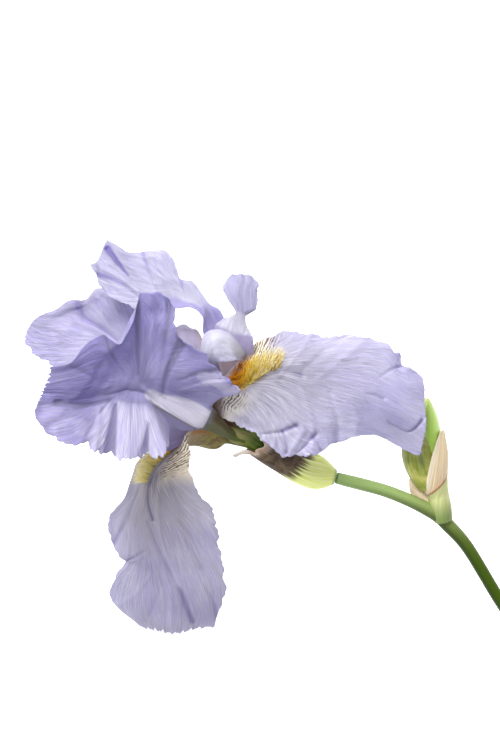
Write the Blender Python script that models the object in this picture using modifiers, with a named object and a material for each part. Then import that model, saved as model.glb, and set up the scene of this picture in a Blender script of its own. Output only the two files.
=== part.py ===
# A bearded iris in flower, cut with its stem and laid on a flat surface, its bloom to the left.
#
# The bloom has three standards and three falls, set in turn round a short green tube. A style arm
# arches over the foot of each fall, with a stamen under it and a beard of hairs along its middle rib.
# Two bracts wrap the ovary under the bloom, and a side bud sits in three more bracts on the stem.
#
# Units: metres in the finished model. Lengths and places below are in millimetres, and places are
# measured from the heart of the bloom, where the petals leave the tube. +X runs along the stem to its
# cut end, +Y across it, +Z up. The model's origin is the middle of its box, on the surface below it.

import math
import random

import bmesh
import bpy
import numpy as np
from mathutils import Matrix, Vector

MM = 0.001

# Driving sizes, in millimetres
HEART = (-19.7, 14.4, 46.3)          # the heart of the bloom, measured from the model's origin
BLOOM_AXIS = (-0.86, 0.51, 0.0)      # the way the bloom looks out of its tube
BLOOM_SIDE = (0.51, 0.86, 0.0)       # across that axis, level with the surface
PETAL_THICKNESS = 0.7
ARM_THICKNESS = 0.7
BRACT_THICKNESS = 0.7
STEM_RADIUS = 2.8
NODE_RADIUS = 3.5                    # the stem's swelling under the side bud
SPUR_RADIUS = 2.1                    # the short stalk of the side bud
CLAW_RADIUS = 4.2                    # ring that the feet of the petals stand on
CLAW_FLARE = 5.6                     # radius of that ring where the feet part
CLAW_LENGTH = 5.6                    # height of that second ring above the first
CLAW_HALF_ANGLE = 22.0               # half of the angle that the foot of a petal takes
CLAW_CROWN = (1.05, 1.11)            # how much further out the rib stands, on each of the two rings
ARM_RING_RADIUS = 1.9                # ring that the feet of the style arms stand on
ARM_RING_HEIGHT = 0.6
ARM_HALF_ANGLE = 36.0
STAMEN_RING_RADIUS = 3.25            # ring that the stamens stand on, between arms and falls
STAMEN_RING_HEIGHT = 1.0
BEARD_FROM, BEARD_TO = 0.41, 0.62    # the part of a fall's rib that bears hairs
BEARD_RADIUS = 0.9                   # the fleshy ridge that the bristles stand on
BEARD_LIFT = 0.4                     # the ridge stands that far off the petal
BEARD_STATIONS = 9
BRISTLES = 18                        # on each beard
BRISTLE_LENGTH = 4.5
BRISTLE_RADIUS = 0.45
BRISTLE_TIP_RADIUS = 0.1
BRISTLE_LEAN_AHEAD = 0.35
BRISTLE_LEAN_ASIDE = 0.55

LAVENDER = (0.42, 0.38, 0.72, 1.0)
PALE_LAVENDER = (0.62, 0.60, 0.84, 1.0)
STYLE_WHITE = (0.70, 0.70, 0.88, 1.0)
BEARD_YELLOW = (0.80, 0.42, 0.05, 1.0)
POLLEN_CREAM = (0.80, 0.76, 0.60, 1.0)
STEM_GREEN = (0.24, 0.40, 0.10, 1.0)
TUBE_GREEN = (0.12, 0.16, 0.03, 1.0)
BUD_GREEN = (0.35, 0.52, 0.10, 1.0)
OLIVE = (0.22, 0.25, 0.03, 1.0)
PAPER_TAN = (0.65, 0.50, 0.30, 1.0)
PAPER_BROWN = (0.14, 0.10, 0.05, 1.0)


def clear_scene():
    for item in list(bpy.data.objects):
        bpy.data.objects.remove(item)


def new_collection(name):
    collection = bpy.data.collections.new(name)
    bpy.context.scene.collection.children.link(collection)
    return collection


def make_material(name, colour, roughness):
    material = bpy.data.materials.new(name)
    material.use_nodes = True
    shader = material.node_tree.nodes["Principled BSDF"]
    shader.inputs["Base Color"].default_value = colour
    shader.inputs["Roughness"].default_value = roughness
    shader.inputs["Metallic"].default_value = 0.0
    return material


def move_to(item, collection):
    for other in list(item.users_collection):
        other.objects.unlink(item)
    collection.objects.link(item)


def place(item, name, material, collection, heart):
    """Names an object, gives it its material and hangs it on the heart of the bloom."""
    move_to(item, collection)
    item.name = name
    item.data.name = name
    item.data.materials.clear()
    item.data.materials.append(material)
    item.parent = heart
    return item


def smooth_line(points, along):
    """Points of the smooth curve through the given ones, at places 0 to 1 along it."""
    points = np.asarray(points, dtype=float)
    spans = len(points) - 1
    before = 2 * points[0] - points[1]
    after = 2 * points[-1] - points[-2]
    padded = np.vstack([before, points, after])
    place_on = np.clip(np.asarray(along, dtype=float) * spans, 0.0, spans - 1e-9)
    index = place_on.astype(int)
    t = (place_on - index)[..., None]
    p0 = padded[index]
    p1 = padded[index + 1]
    p2 = padded[index + 2]
    p3 = padded[index + 3]
    linear = (p2 - p0) * t
    square = (2 * p0 - 5 * p1 + 4 * p2 - p3) * t ** 2
    cube = (3 * p1 - p0 - 3 * p2 + p3) * t ** 3
    return p1 + 0.5 * (linear + square + cube)


def ring_point(angle, height, radius):
    """A point round the bloom's axis. Angle 0 is level, on the far side, and 90 is straight up."""
    turn = math.radians(angle)
    out = np.array(BLOOM_SIDE) * math.cos(turn) + np.array((0.0, 0.0, math.sin(turn)))
    return tuple(np.array(BLOOM_AXIS) * height + out * radius)


def ring_row(angle, height, radius, half_angle, crown):
    """A row across a petal's foot, which bends round the bloom's axis."""
    left = ring_point(angle + half_angle, height, radius)
    middle = ring_point(angle, height, radius * crown)
    right = ring_point(angle - half_angle, height, radius)
    return left, middle, right


def claw(angle):
    """The two lowest rows of a petal that stands at this angle round the tube."""
    foot = ring_row(angle, 0.0, CLAW_RADIUS, CLAW_HALF_ANGLE, CLAW_CROWN[0])
    neck = ring_row(angle, CLAW_LENGTH, CLAW_FLARE, CLAW_HALF_ANGLE, CLAW_CROWN[1])
    return [foot, neck]


def arm_foot(angle):
    """The lowest row of a style arm that stands at this angle round the tube."""
    return [ring_row(angle, ARM_RING_HEIGHT, ARM_RING_RADIUS, ARM_HALF_ANGLE, CLAW_CROWN[0])]


def row_surface(rows, u, v):
    """The plain petal: each row is a curve from its left edge over the rib to its right edge."""
    left = smooth_line([row[0] for row in rows], u)
    middle = smooth_line([row[1] for row in rows], u)
    right = smooth_line([row[2] for row in rows], u)
    half_width = (right - left) / 2
    bow = (right + left) / 2 - middle
    return middle + half_width * v[..., None] + bow * v[..., None] ** 2


def row_normals(rows, u, v):
    step = 0.001
    along = row_surface(rows, np.clip(u + step, 0, 1), v) - row_surface(rows, np.clip(u - step, 0, 1), v)
    across = row_surface(rows, u, np.clip(v + step, -1, 1)) - row_surface(rows, u, np.clip(v - step, -1, 1))
    normal = np.cross(along, across)
    return normal / np.linalg.norm(normal, axis=-1, keepdims=True)


def ruffle(u, v, waves):
    """Height of the ruffles: waves that fan out from the foot and grow towards the edge and tip."""
    fan = v * (0.3 + 0.7 * (1 - u ** 2))
    near_edge = 1 - (1 - np.abs(v) ** 2.5) * (1 - u ** 4)
    past_claw = np.clip((u - 0.12) / 0.25, 0, 1)
    height = np.zeros_like(u)
    for size, count, shift in waves:
        height += size * np.sin(2 * math.pi * (count * fan + shift))
    return height * near_edge ** 1.5 * past_claw ** 2


def petal_points(rows, u, v, waves=()):
    points = row_surface(rows, u, v)
    if waves:
        points = points + row_normals(rows, u, v) * ruffle(u, v, waves)[..., None]
    return points


def shaped_grid(cells_along, cells_across, shape):
    """A grid whose points are moved to shape(u, v), with u from 0 to 1 and v from -1 to 1."""
    bpy.ops.mesh.primitive_grid_add(x_subdivisions=cells_across, y_subdivisions=cells_along, size=2)
    item = bpy.context.object
    flat = np.array([vertex.co[:] for vertex in item.data.vertices])
    points = shape((flat[:, 1] + 1) / 2, flat[:, 0])
    item.data.vertices.foreach_set("co", (points * MM).astype(np.float32).ravel())
    item.data.update()
    item.data.shade_smooth()
    return item


def thicken(item, thickness):
    """Gives a sheet its thickness. Both faces take the same triangles, so that they never cross."""
    triangles = item.modifiers.new("Triangles", "TRIANGULATE")
    triangles.quad_method = "FIXED"
    wall = item.modifiers.new("Thickness", "SOLIDIFY")
    wall.thickness = thickness * MM
    wall.offset = 0.0
    return item


def blade(rows, cells, waves=(), thickness=PETAL_THICKNESS):
    """A petal, or another leaf-like piece, from its rows."""
    item = shaped_grid(cells[0], cells[1], lambda u, v: petal_points(rows, u, v, waves))
    return thicken(item, thickness)


def sheath(stalk, rows, cells):
    """A bract round a stalk. A row is (place on the stalk, lift off it, angle from, angle to).

    The place runs from 0 to 1, the lift is to the middle of the bract's wall, and angle 0 is straight
    up, with angles growing clockwise as seen from the stalk's far end.
    """
    def shape(u, v):
        row = smooth_line(rows, u)
        station = smooth_line(stalk, row[..., 0])
        ahead = smooth_line(stalk, row[..., 0] + 0.01) - smooth_line(stalk, row[..., 0] - 0.01)
        ahead = ahead[..., :3] / np.linalg.norm(ahead[..., :3], axis=-1, keepdims=True)
        up = np.array((0.0, 0.0, 1.0)) - ahead * ahead[..., 2:3]
        up /= np.linalg.norm(up, axis=-1, keepdims=True)
        side = np.cross(ahead, up)
        turn = np.radians(row[..., 2] + (row[..., 3] - row[..., 2]) * (v + 1) / 2)[..., None]
        radius = station[..., 3:4] + row[..., 1:2]
        return station[..., :3] + (up * np.cos(turn) + side * np.sin(turn)) * radius

    return thicken(shaped_grid(cells[0], cells[1], shape), BRACT_THICKNESS)


def tube(stations, count, sides=2):
    """A round stalk through stations of (x, y, z, radius)."""
    curve = bpy.data.curves.new("tube", "CURVE")
    curve.dimensions = "3D"
    curve.bevel_depth = MM
    curve.bevel_resolution = sides
    curve.use_fill_caps = True
    spline = curve.splines.new("POLY")
    spline.points.add(count - 1)
    for point, values in zip(spline.points, smooth_line(stations, np.linspace(0, 1, count))):
        point.co = (values[0] * MM, values[1] * MM, values[2] * MM, 1.0)
        point.radius = values[3]
    item = bpy.data.objects.new("tube", curve)
    bpy.context.scene.collection.objects.link(item)
    return item


def solid(item):
    """The object as a closed mesh, with its modifiers applied and its caps welded."""
    bpy.context.view_layer.update()
    mesh = bpy.data.meshes.new_from_object(item.evaluated_get(bpy.context.evaluated_depsgraph_get()))
    cleaner = bmesh.new()
    cleaner.from_mesh(mesh)
    bmesh.ops.remove_doubles(cleaner, verts=cleaner.verts, dist=0.00001)
    bmesh.ops.triangulate(cleaner, faces=cleaner.faces)
    cleaner.to_mesh(mesh)
    cleaner.free()
    result = bpy.data.objects.new("solid", mesh)
    result.matrix_world = item.matrix_world
    bpy.context.scene.collection.objects.link(result)
    bpy.data.objects.remove(item)
    return result


def fuse(body, extras):
    """Joins the extras to the body in one closed piece."""
    joined = new_collection("joined")
    for item in extras:
        move_to(item, joined)
    union = body.modifiers.new("Union", "BOOLEAN")
    union.operation = "UNION"
    union.operand_type = "COLLECTION"
    union.collection = joined
    union.solver = "EXACT"
    result = solid(body)
    for item in list(joined.objects):
        bpy.data.objects.remove(item)
    bpy.data.collections.remove(joined)
    return result


def bristle(root, tip):
    """A three-sided hair of a beard, from its root to its tip, in millimetres."""
    root = Vector(root) * MM
    tip = Vector(tip) * MM
    way = tip - root
    bpy.ops.mesh.primitive_cone_add(
        vertices=3, radius1=BRISTLE_RADIUS * MM, radius2=BRISTLE_TIP_RADIUS * MM, depth=way.length)
    item = bpy.context.object
    turn = way.to_track_quat("Z", "Y").to_matrix().to_4x4()
    item.data.transform(Matrix.Translation((root + tip) / 2) @ turn)
    item.location = (0, 0, 0)
    return item


# The rows of each petal above its claw: left edge, rib, right edge, in millimetres from the heart

FALL_RIGHT = claw(60) + [
    ((-12.5, 7, 8), (-10.5, 11.5, 13), (-4, 16.5, 5)),
    ((-16, 10.5, 8), (-14, 17.5, 19), (-3, 28.5, 4)),
    ((-12, 10, 12), (-9.5, 22.5, 27), (1.5, 36.5, 6)),
    ((-5.5, 6.5, 16), (1, 24, 29), (8, 40.5, 11)),
    ((5.5, 0, 16), (12.5, 25, 28), (18.5, 42, 13)),
    ((20.5, -7.5, 12), (26, 23.5, 25), (30.5, 41, 14)),
    ((38.5, -1.5, 11), (41, 19.5, 21), (45, 41.5, 13)),
    ((55.5, -1.5, 5), (55, 13.5, 15), (59.5, 32.5, 9)),
    ((68, -7, 0), (70.5, 7.5, 7), (68.5, 25, 5)),
]

FALL_LOWER = claw(180) + [
    ((-14, -4.5, -8), (-13, -3.5, -3), (-13.5, 0, 7)),
    ((-25, -1, -11), (-21, -3, 0), (-19, 0.5, 12)),
    ((-34.5, -2, -8), (-29.5, -5, 6), (-22.5, -4, 15)),
    ((-44, -9.5, -4), (-35.5, -12, 8), (-22.5, -13, 11)),
    ((-48.5, -22, -4), (-39, -22, 4), (-18.5, -22, 5)),
    ((-57, -35.5, -10), (-39, -35.5, -4), (-11.5, -37.5, -3)),
    ((-52.5, -49, -15), (-36.5, -48.5, -13), (-8.5, -53.5, -15)),
    ((-57, -64, -28), (-33.5, -63, -27), (-10, -66, -29)),
    ((-49, -77, -43.5), (-29, -81.5, -45.5), (-14.5, -79, -45.5)),
]

FALL_UNDER = claw(300) + [
    ((-4, 16.5, -5), (-10, 12, -13), (-12, 8, -8)),
    ((-5, 28.5, -10), (-13.5, 19, -21), (-16, 13.5, -12)),
    ((-3.5, 34, -16), (-10, 23, -31), (-13, 12, -20)),
    ((8, 35, -26), (1, 22, -37), (-3.5, 8, -24)),
    ((19.5, 36, -31), (13, 20.5, -41.5), (9, 4.5, -28)),
    ((31.5, 34.5, -34), (27.5, 19, -44), (23.5, 1.5, -32)),
    ((46, 35, -37), (42.5, 18, -45.3), (40, 2, -36)),
    ((58.5, 35, -39), (57, 17.5, -45.4), (53, 4.5, -39)),
    ((63, 35, -40), (64, 20, -43.5), (60.5, 8.5, -41)),
]

STANDARD_FRONT = claw(120) + [
    ((-16.5, 2.5, 13), (-15, 6, 16), (-12, 9.5, 16)),
    ((-25, -1, 22), (-23, 8.5, 17), (-14, 13.5, 22)),
    ((-30.5, -6.5, 30), (-29.5, 13.5, 17), (-4, 17.5, 38)),
    ((-36, -8.5, 35), (-36.5, 18, 18), (-9, 24.5, 41)),
    ((-42, -7.5, 37), (-42, 20.5, 19), (-15.5, 33, 43)),
    ((-47, -9.5, 39), (-47, 21, 20), (-26.5, 40.5, 46)),
    ((-53, -7, 39), (-52, 21, 21), (-27, 51, 47)),
    ((-58.5, -5.5, 39), (-56, 21, 22), (-39, 57.5, 47)),
    ((-63.5, -3, 38), (-60.5, 20.5, 23), (-43.5, 48, 45)),
    ((-69, -3, 36), (-64, 19.5, 24), (-49.5, 37.5, 41)),
    ((-74.5, -1, 34), (-68.5, 17.5, 25), (-58.5, 39.5, 38)),
    ((-79, 2, 31), (-73, 16, 25), (-67.5, 32, 34)),
    ((-82.5, 6, 27), (-78, 14.5, 24), (-77.5, 27.5, 30)),
]

STANDARD_LEFT = claw(240) + [
    ((-18, 10, -15), (-19.5, 7, -16.5), (-21.5, 3, -15)),
    ((-23.5, 27, -17), (-29.5, 17, -23), (-36.5, 3, -21)),
    ((-32, 45, -23), (-42, 28, -32), (-53, 9.5, -27)),
    ((-41.5, 56, -28), (-52.5, 37, -40), (-67.5, 18, -31)),
    ((-51, 62, -32), (-63, 46, -45.5), (-79, 27, -36)),
    ((-59, 61.5, -34), (-72, 51, -45.5), (-90, 35, -38)),
    ((-66.5, 59, -36), (-80, 53, -43), (-92.5, 43.5, -39)),
    ((-74, 54.5, -37), (-81.5, 52.5, -40), (-88.5, 48, -38)),
]

STANDARD_TOP = claw(0) + [
    ((-11, 25, 3), (-7, 25, -2), (-3, 27.5, -7)),
    ((-17.5, 39.5, 4), (-13.5, 41, -3), (-8, 45.5, -10)),
    ((-20.5, 50.5, 5), (-19, 52.5, -4), (-15.5, 54, -13)),
    ((-28.5, 49.5, 1), (-26.5, 58, -8), (-19.5, 61, -19)),
    ((-37.5, 50.5, -6), (-37, 63, -11), (-27.5, 69, -23)),
    ((-48.5, 53, -12), (-46, 67, -14), (-37.5, 76, -26)),
    ((-57.5, 58.5, -18), (-55, 68.5, -17), (-48.5, 74.5, -26)),
    ((-61.5, 64.5, -21), (-63.5, 70, -19), (-58, 79.5, -24)),
]

# name: rows, cells along and across, and ruffles as (height, waves from edge to edge, shift)
PETALS = {
    "fall_right": (FALL_RIGHT, (24, 16), ((1.5, 1.6, 0.1), (0.7, 3.4, 0.4))),
    "fall_lower": (FALL_LOWER, (22, 16), ((1.2, 1.5, 0.2), (0.6, 3.6, 0.1))),
    "fall_under": (FALL_UNDER, (16, 10), ((1.0, 1.5, 0.3),)),
    "standard_front": (STANDARD_FRONT, (26, 18), ((1.6, 2.0, 0.0), (0.8, 4.2, 0.3))),
    "standard_left": (STANDARD_LEFT, (18, 14), ((1.3, 2.0, 0.2),)),
    "standard_top": (STANDARD_TOP, (20, 12), ((1.0, 1.5, 0.1),)),
}

STYLE_ARM_RIGHT = arm_foot(60) + [
    ((-9, 8, 7.5), (-9, 10.5, 5.5), (-6.5, 11.5, 3.5)),
    ((-13.5, 13.5, 12.5), (-13.5, 18, 9), (-9, 20, 6.5)),
    ((-17, 21, 20), (-16.5, 26.5, 14), (-10.5, 29, 11)),
    ((-16.5, 30.5, 25), (-16.5, 34.5, 21), (-8.5, 38, 17)),
    ((-13, 33.5, 30), (-11, 38.5, 27), (-4.5, 39.5, 22)),
    ((-9.5, 30, 30), (-6.5, 34.5, 29), (-2, 34, 23)),
]

CREST_RIGHT = [
    ((-7, 29, 26), (-3, 31, 25), (1.5, 34.5, 21)),
    ((-11.5, 36, 24), (-4.5, 39, 25), (2.5, 41, 21)),
    ((-13.5, 44.5, 20), (-5.5, 45.5, 22), (1, 45.5, 18)),
    ((-7, 48.5, 21), (-3, 49, 22), (-0.5, 49, 20)),
    ((-8.5, 54, 20), (-2.5, 54, 23), (3.5, 53, 20)),
    ((-10, 59, 18), (-2.5, 59.5, 22), (4.5, 59.5, 18)),
    ((-6.5, 63.5, 18), (-2.5, 64.5, 20), (2.5, 63.5, 18)),
]

STYLE_ARM_LOWER = arm_foot(180) + [
    ((-11.5, 1.5, -3.5), (-11.5, 2.5, 0), (-10.5, 1, 3.5)),
    ((-19.5, 3.5, -6), (-21, 5, 1), (-20, 1.5, 8)),
    ((-29, 3.5, -6), (-30.5, 5, 3), (-28.5, -1, 11)),
    ((-37.5, 2, -4), (-38, 3, 6), (-33, -1, 11)),
    ((-43, -1.5, 0), (-41.5, -2, 8), (-35, -2.5, 11.5)),
]

STYLE_ARM_UNDER = arm_foot(300) + [
    ((-6.5, 11.5, -3.5), (-9, 10.5, -5.5), (-9, 8, -7.5)),
    ((-9, 20, -6), (-13.5, 18, -9), (-14, 13.5, -13)),
    ((-11.5, 30, -9), (-17, 27, -12), (-18.5, 22, -18)),
    ((-11.5, 39, -13), (-18, 35, -16), (-19.5, 31, -22)),
    ((-9, 43, -20), (-14.5, 40.5, -23), (-18, 37, -28)),
]

# Round stalks: (x, y, z, radius)

STEM = [
    (35.6, -16.5, -5, STEM_RADIUS),
    (40, -17.6, -6, STEM_RADIUS),
    (45, -19, -8.3, STEM_RADIUS),
    (55.5, -21.5, -12.5, STEM_RADIUS),
    (66.5, -25.5, -16, STEM_RADIUS),
    (78, -31, -20, NODE_RADIUS),
    (91, -44.5, -26, STEM_RADIUS),
    (103.5, -67, -33, STEM_RADIUS),
    (116.5, -87, -38.5, STEM_RADIUS),
    (129.5, -107, -43.6, STEM_RADIUS),
]

SPUR = [
    (78, -31, -20, SPUR_RADIUS),
    (77.5, -27.5, -19.3, SPUR_RADIUS),
    (77, -24.7, -18.7, SPUR_RADIUS * 0.8),
]

OVARY_TUBE = [
    (34.9, -16.3, -4.8, 2.5),
    (28, -14.5, -4.5, 4.2),
    (21, -11.5, -3.5, 4.5),
    (13, -7.8, -2, 3.4),
    (7, -4.2, -0.6, 2.9),
    (3, -1.8, -0.1, 3.0),
    (0.5, -0.3, 0, 4.6),
]

BUD = [
    (77, -24, -18.5, 1.5),
    (75.8, -20, -17.5, 3.6),
    (74.2, -15.5, -16.5, 5.4),
    (72.6, -9, -15.5, 6.9),
    (71.6, 0, -14.5, 6.8),
    (71.7, 7.5, -13.5, 5.2),
    (72.2, 13, -12.5, 2.4),
    (72.5, 15.5, -12, 0.5),
]

# Bracts: (place on the stalk, lift off it, angle from, angle to)

SPATHE_OUTER = [
    (0.0, 1.1, -150, 120),
    (0.1, 2.6, -150, 120),
    (0.28, 2.4, -145, 115),
    (0.42, 2.5, -135, 115),
    (0.54, 2.3, -130, 110),
    (0.67, 1.95, -125, 110),
    (0.82, 1.9, -120, 105),
]

SPATHE_INNER = [
    (0.08, 1.2, -265, -95),
    (0.28, 1.25, -265, -90),
    (0.42, 1.35, -260, -90),
    (0.54, 1.15, -240, -85),
    (0.67, 0.8, -210, -85),
    (0.82, 0.8, -190, -88),
    (0.95, 1.6, -150, -95),
    (1.0, 3.6, -125, -108),
]

BUD_BRACT_OLIVE = [
    (0.04, 1.15, -110, 30),
    (0.14, 0.95, -125, 30),
    (0.28, 0.95, -140, 25),
    (0.42, 0.95, -135, 20),
    (0.5, 0.95, -110, 15),
    (0.56, 0.95, -70, 5),
]

BUD_BRACT_PAPER = [
    (0.03, 2.25, -20, 160),
    (0.14, 2.1, -15, 160),
    (0.28, 2.1, -8, 150),
    (0.42, 2.1, 0, 135),
    (0.52, 2.1, 20, 120),
    (0.62, 2.1, 60, 100),
]

BUD_BRACT_SMALL = [
    (0.11, 2.1, -105, -55),
    (0.17, 2.1, -120, -60),
    (0.24, 2.9, -112, -68),
    (0.3, 4.8, -100, -82),
]

# Stamens: the way from the tube's mouth, between a style arm and the fall under it

STAMEN_RIGHT = [(-4.2, 6, 4.7), (-9.8, 11.2, 9.3), (-13.6, 17.5, 14)]
STAMEN_LOWER = [(-6.4, -0.8, 0), (-13, -0.4, -1), (-21.5, 1, 1)]
STAMEN_UNDER = [(-4.2, 6, -4.7), (-9.8, 11.2, -9.3), (-13.6, 17.5, -14)]


def beard(rows, waves):
    """A fleshy ridge along a fall's rib, with bristles that lean forwards and to both sides."""
    share = np.linspace(0, 1, BEARD_STATIONS)
    u = BEARD_FROM + (BEARD_TO - BEARD_FROM) * share
    v = np.zeros_like(u)
    normal = row_normals(rows, u, v)
    above = PETAL_THICKNESS / 2 + BEARD_LIFT + BEARD_RADIUS
    ridge = petal_points(rows, u, v, waves) + normal * above
    sizes = BEARD_RADIUS * (1 - 0.5 * share ** 2)
    core = solid(tube(np.hstack([ridge, sizes[:, None]]), BEARD_STATIONS, 1))
    draw = random.Random(3)
    hairs = []
    for count in range(BRISTLES):
        share = (count + 0.5) / BRISTLES
        root = smooth_line(ridge, np.array([share]))[0]
        ahead = smooth_line(ridge, np.array([min(share + 0.05, 1.0)]))[0] - root
        ahead /= np.linalg.norm(ahead)
        up = smooth_line(normal, np.array([share]))[0]
        across = np.cross(ahead, up)
        lean = draw.uniform(-BRISTLE_LEAN_ASIDE, BRISTLE_LEAN_ASIDE)
        way = up + ahead * BRISTLE_LEAN_AHEAD + across * lean
        way /= np.linalg.norm(way)
        length = BRISTLE_LENGTH * (1 - 0.45 * share) * draw.uniform(0.85, 1.1)
        hairs.append(bristle(root, root + way * length))
    return fuse(core, hairs)


def stamen(angle, route):
    """A thread from the tube's mouth with a long anther, under its style arm."""
    foot = ring_point(angle, STAMEN_RING_HEIGHT, STAMEN_RING_RADIUS)
    shares = (0.0, 0.3, 0.5, 0.58, 0.75, 0.93, 1.0)
    sizes = (0.4, 0.4, 0.4, 0.75, 0.85, 0.7, 0.3)
    middle = smooth_line([foot] + route, np.array(shares))
    return tube(np.hstack([middle, np.array(sizes)[:, None]]), 10, 1)


clear_scene()
iris = new_collection("iris_flower")
heart = bpy.data.objects.new("heart", None)
heart.location = Vector(HEART) * MM
iris.objects.link(heart)

petal_skin = make_material("petal", LAVENDER, 0.5)
standard_skin = make_material("standard", PALE_LAVENDER, 0.5)
arm_skin = make_material("style_arm", STYLE_WHITE, 0.45)
beard_skin = make_material("beard", BEARD_YELLOW, 0.7)
anther_skin = make_material("anther", POLLEN_CREAM, 0.8)
stem_skin = make_material("stem", STEM_GREEN, 0.4)
tube_skin = make_material("tube", TUBE_GREEN, 0.4)
bud_skin = make_material("bud", BUD_GREEN, 0.45)
olive_skin = make_material("bud_bract", OLIVE, 0.45)
paper_skin = make_material("papery_bract", PAPER_TAN, 0.7)
spathe_skin = make_material("spathe", PAPER_BROWN, 0.6)

for petal, (rows, cells, waves) in PETALS.items():
    skin = petal_skin if petal.startswith("fall") else standard_skin
    place(blade(rows, cells, waves), petal, skin, iris, heart)

for petal in ("fall_right", "fall_lower", "fall_under"):
    rows, cells, waves = PETALS[petal]
    place(beard(rows, waves), petal.replace("fall", "beard"), beard_skin, iris, heart)

arm = solid(blade(STYLE_ARM_RIGHT, (12, 6), thickness=ARM_THICKNESS))
crest = solid(blade(CREST_RIGHT, (14, 6), ((0.5, 1.0, 0.2),), ARM_THICKNESS))
place(fuse(arm, [crest]), "style_arm_right", arm_skin, iris, heart)
place(blade(STYLE_ARM_LOWER, (10, 6), thickness=ARM_THICKNESS), "style_arm_lower", arm_skin, iris, heart)
place(blade(STYLE_ARM_UNDER, (10, 6), thickness=ARM_THICKNESS), "style_arm_under", arm_skin, iris, heart)

place(stamen(60, STAMEN_RIGHT), "stamen_right", anther_skin, iris, heart)
place(stamen(180, STAMEN_LOWER), "stamen_lower", anther_skin, iris, heart)
place(stamen(300, STAMEN_UNDER), "stamen_under", anther_skin, iris, heart)

stem = solid(tube(STEM, 25))
spur = solid(tube(SPUR, 3))
place(fuse(stem, [spur]), "stem", stem_skin, iris, heart)
place(tube(OVARY_TUBE, 15), "ovary_tube", tube_skin, iris, heart)
place(sheath(OVARY_TUBE, SPATHE_OUTER, (12, 12)), "spathe_outer", spathe_skin, iris, heart)
place(sheath(OVARY_TUBE, SPATHE_INNER, (12, 8)), "spathe_inner", spathe_skin, iris, heart)

place(tube(BUD, 15, 3), "bud", bud_skin, iris, heart)
place(sheath(BUD, BUD_BRACT_OLIVE, (9, 9)), "bud_bract_olive", olive_skin, iris, heart)
place(sheath(BUD, BUD_BRACT_PAPER, (9, 10)), "bud_bract_paper", paper_skin, iris, heart)
place(sheath(BUD, BUD_BRACT_SMALL, (5, 5)), "bud_bract_small", paper_skin, iris, heart)
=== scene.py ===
# The looks of a cut bearded iris that lies on a pale surface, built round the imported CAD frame.
# Lengths in the sections below are in millimetres, and places are measured from the heart of the
# bloom, where the petals leave the tube. +X runs along the stem, +Y across it, +Z up to the camera.
import math
import random

import bpy
import numpy as np
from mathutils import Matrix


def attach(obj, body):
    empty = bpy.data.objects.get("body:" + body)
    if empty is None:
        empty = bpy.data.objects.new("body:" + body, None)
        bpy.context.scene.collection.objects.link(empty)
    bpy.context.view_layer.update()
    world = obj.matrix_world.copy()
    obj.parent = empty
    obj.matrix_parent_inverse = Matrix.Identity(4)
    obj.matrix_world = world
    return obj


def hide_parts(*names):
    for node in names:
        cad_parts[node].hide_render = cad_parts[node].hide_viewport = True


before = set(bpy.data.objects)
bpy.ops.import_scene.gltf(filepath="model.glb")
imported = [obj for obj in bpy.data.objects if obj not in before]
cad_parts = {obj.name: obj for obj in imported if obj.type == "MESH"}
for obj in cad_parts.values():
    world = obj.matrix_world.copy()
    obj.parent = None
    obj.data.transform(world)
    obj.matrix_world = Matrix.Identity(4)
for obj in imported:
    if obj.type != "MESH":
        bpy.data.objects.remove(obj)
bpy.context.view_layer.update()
bpy.ops.object.select_all(action="DESELECT")

# Camera
# It looks straight down on the flower as it lies, from well above it.

MM = 0.001
EYE = (-18.9, 39.2, 1170.3)
bpy.ops.object.camera_add(location=[length * MM for length in EYE], rotation=(0, 0, 0))
camera = bpy.context.object
camera.name = "camera"
camera.data.lens = 135
camera.data.sensor_width = 36
camera.data.clip_start = 0.05
camera.data.clip_end = 5.0
bpy.context.scene.camera = camera

# Stem
# A round fleshy stalk, waxy and fresh green, cut plainly at its lower end. It swells where the side
# bud leaves it on a stalk of its own, and runs up into the bracts under the bloom.

HEART = np.array((-19.7, 14.4, 46.3))        # the heart of the bloom, from the frame's origin
STEM_PATH = [                                # x, y, z, radius
    (35.6, -16.5, -5, 2.3),
    (40, -17.7, -6, 2.45),
    (45, -19, -8.3, 2.5),
    (55.5, -22, -12.5, 2.5),
    (66.5, -26.5, -16, 2.6),
    (76.5, -31.8, -20, 2.9),
    (81.3, -36.2, -22.3, 2.8),
    (90, -46, -26.5, 2.55),
    (103, -67, -33, 2.5),
    (116.2, -87, -38.7, 2.5),
    (129, -107, -43.8, 2.5),
]
BUD_STALK_PATH = [
    (77.5, -32, -20, 2.0),
    (77.2, -28, -19.3, 2.0),
    (77, -24.7, -18.7, 1.7),
]


def smooth_line(points, along):
    """Points of the smooth curve through the given ones, at places 0 to 1 along it."""
    points = np.asarray(points, dtype=float)
    spans = len(points) - 1
    padded = np.concatenate([[2 * points[0] - points[1]], points, [2 * points[-1] - points[-2]]])
    place = np.clip(np.asarray(along, dtype=float) * spans, 0.0, spans - 1e-9)
    index = place.astype(int)
    t = (place - index).reshape(place.shape + (1,) * (points.ndim - 1))
    p0, p1, p2, p3 = (padded[index + step] for step in range(4))
    linear = (p2 - p0) * t
    square = (2 * p0 - 5 * p1 + 4 * p2 - p3) * t ** 2
    cube = (3 * p1 - p0 - 3 * p2 + p3) * t ** 3
    return p1 + 0.5 * (linear + square + cube)


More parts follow.
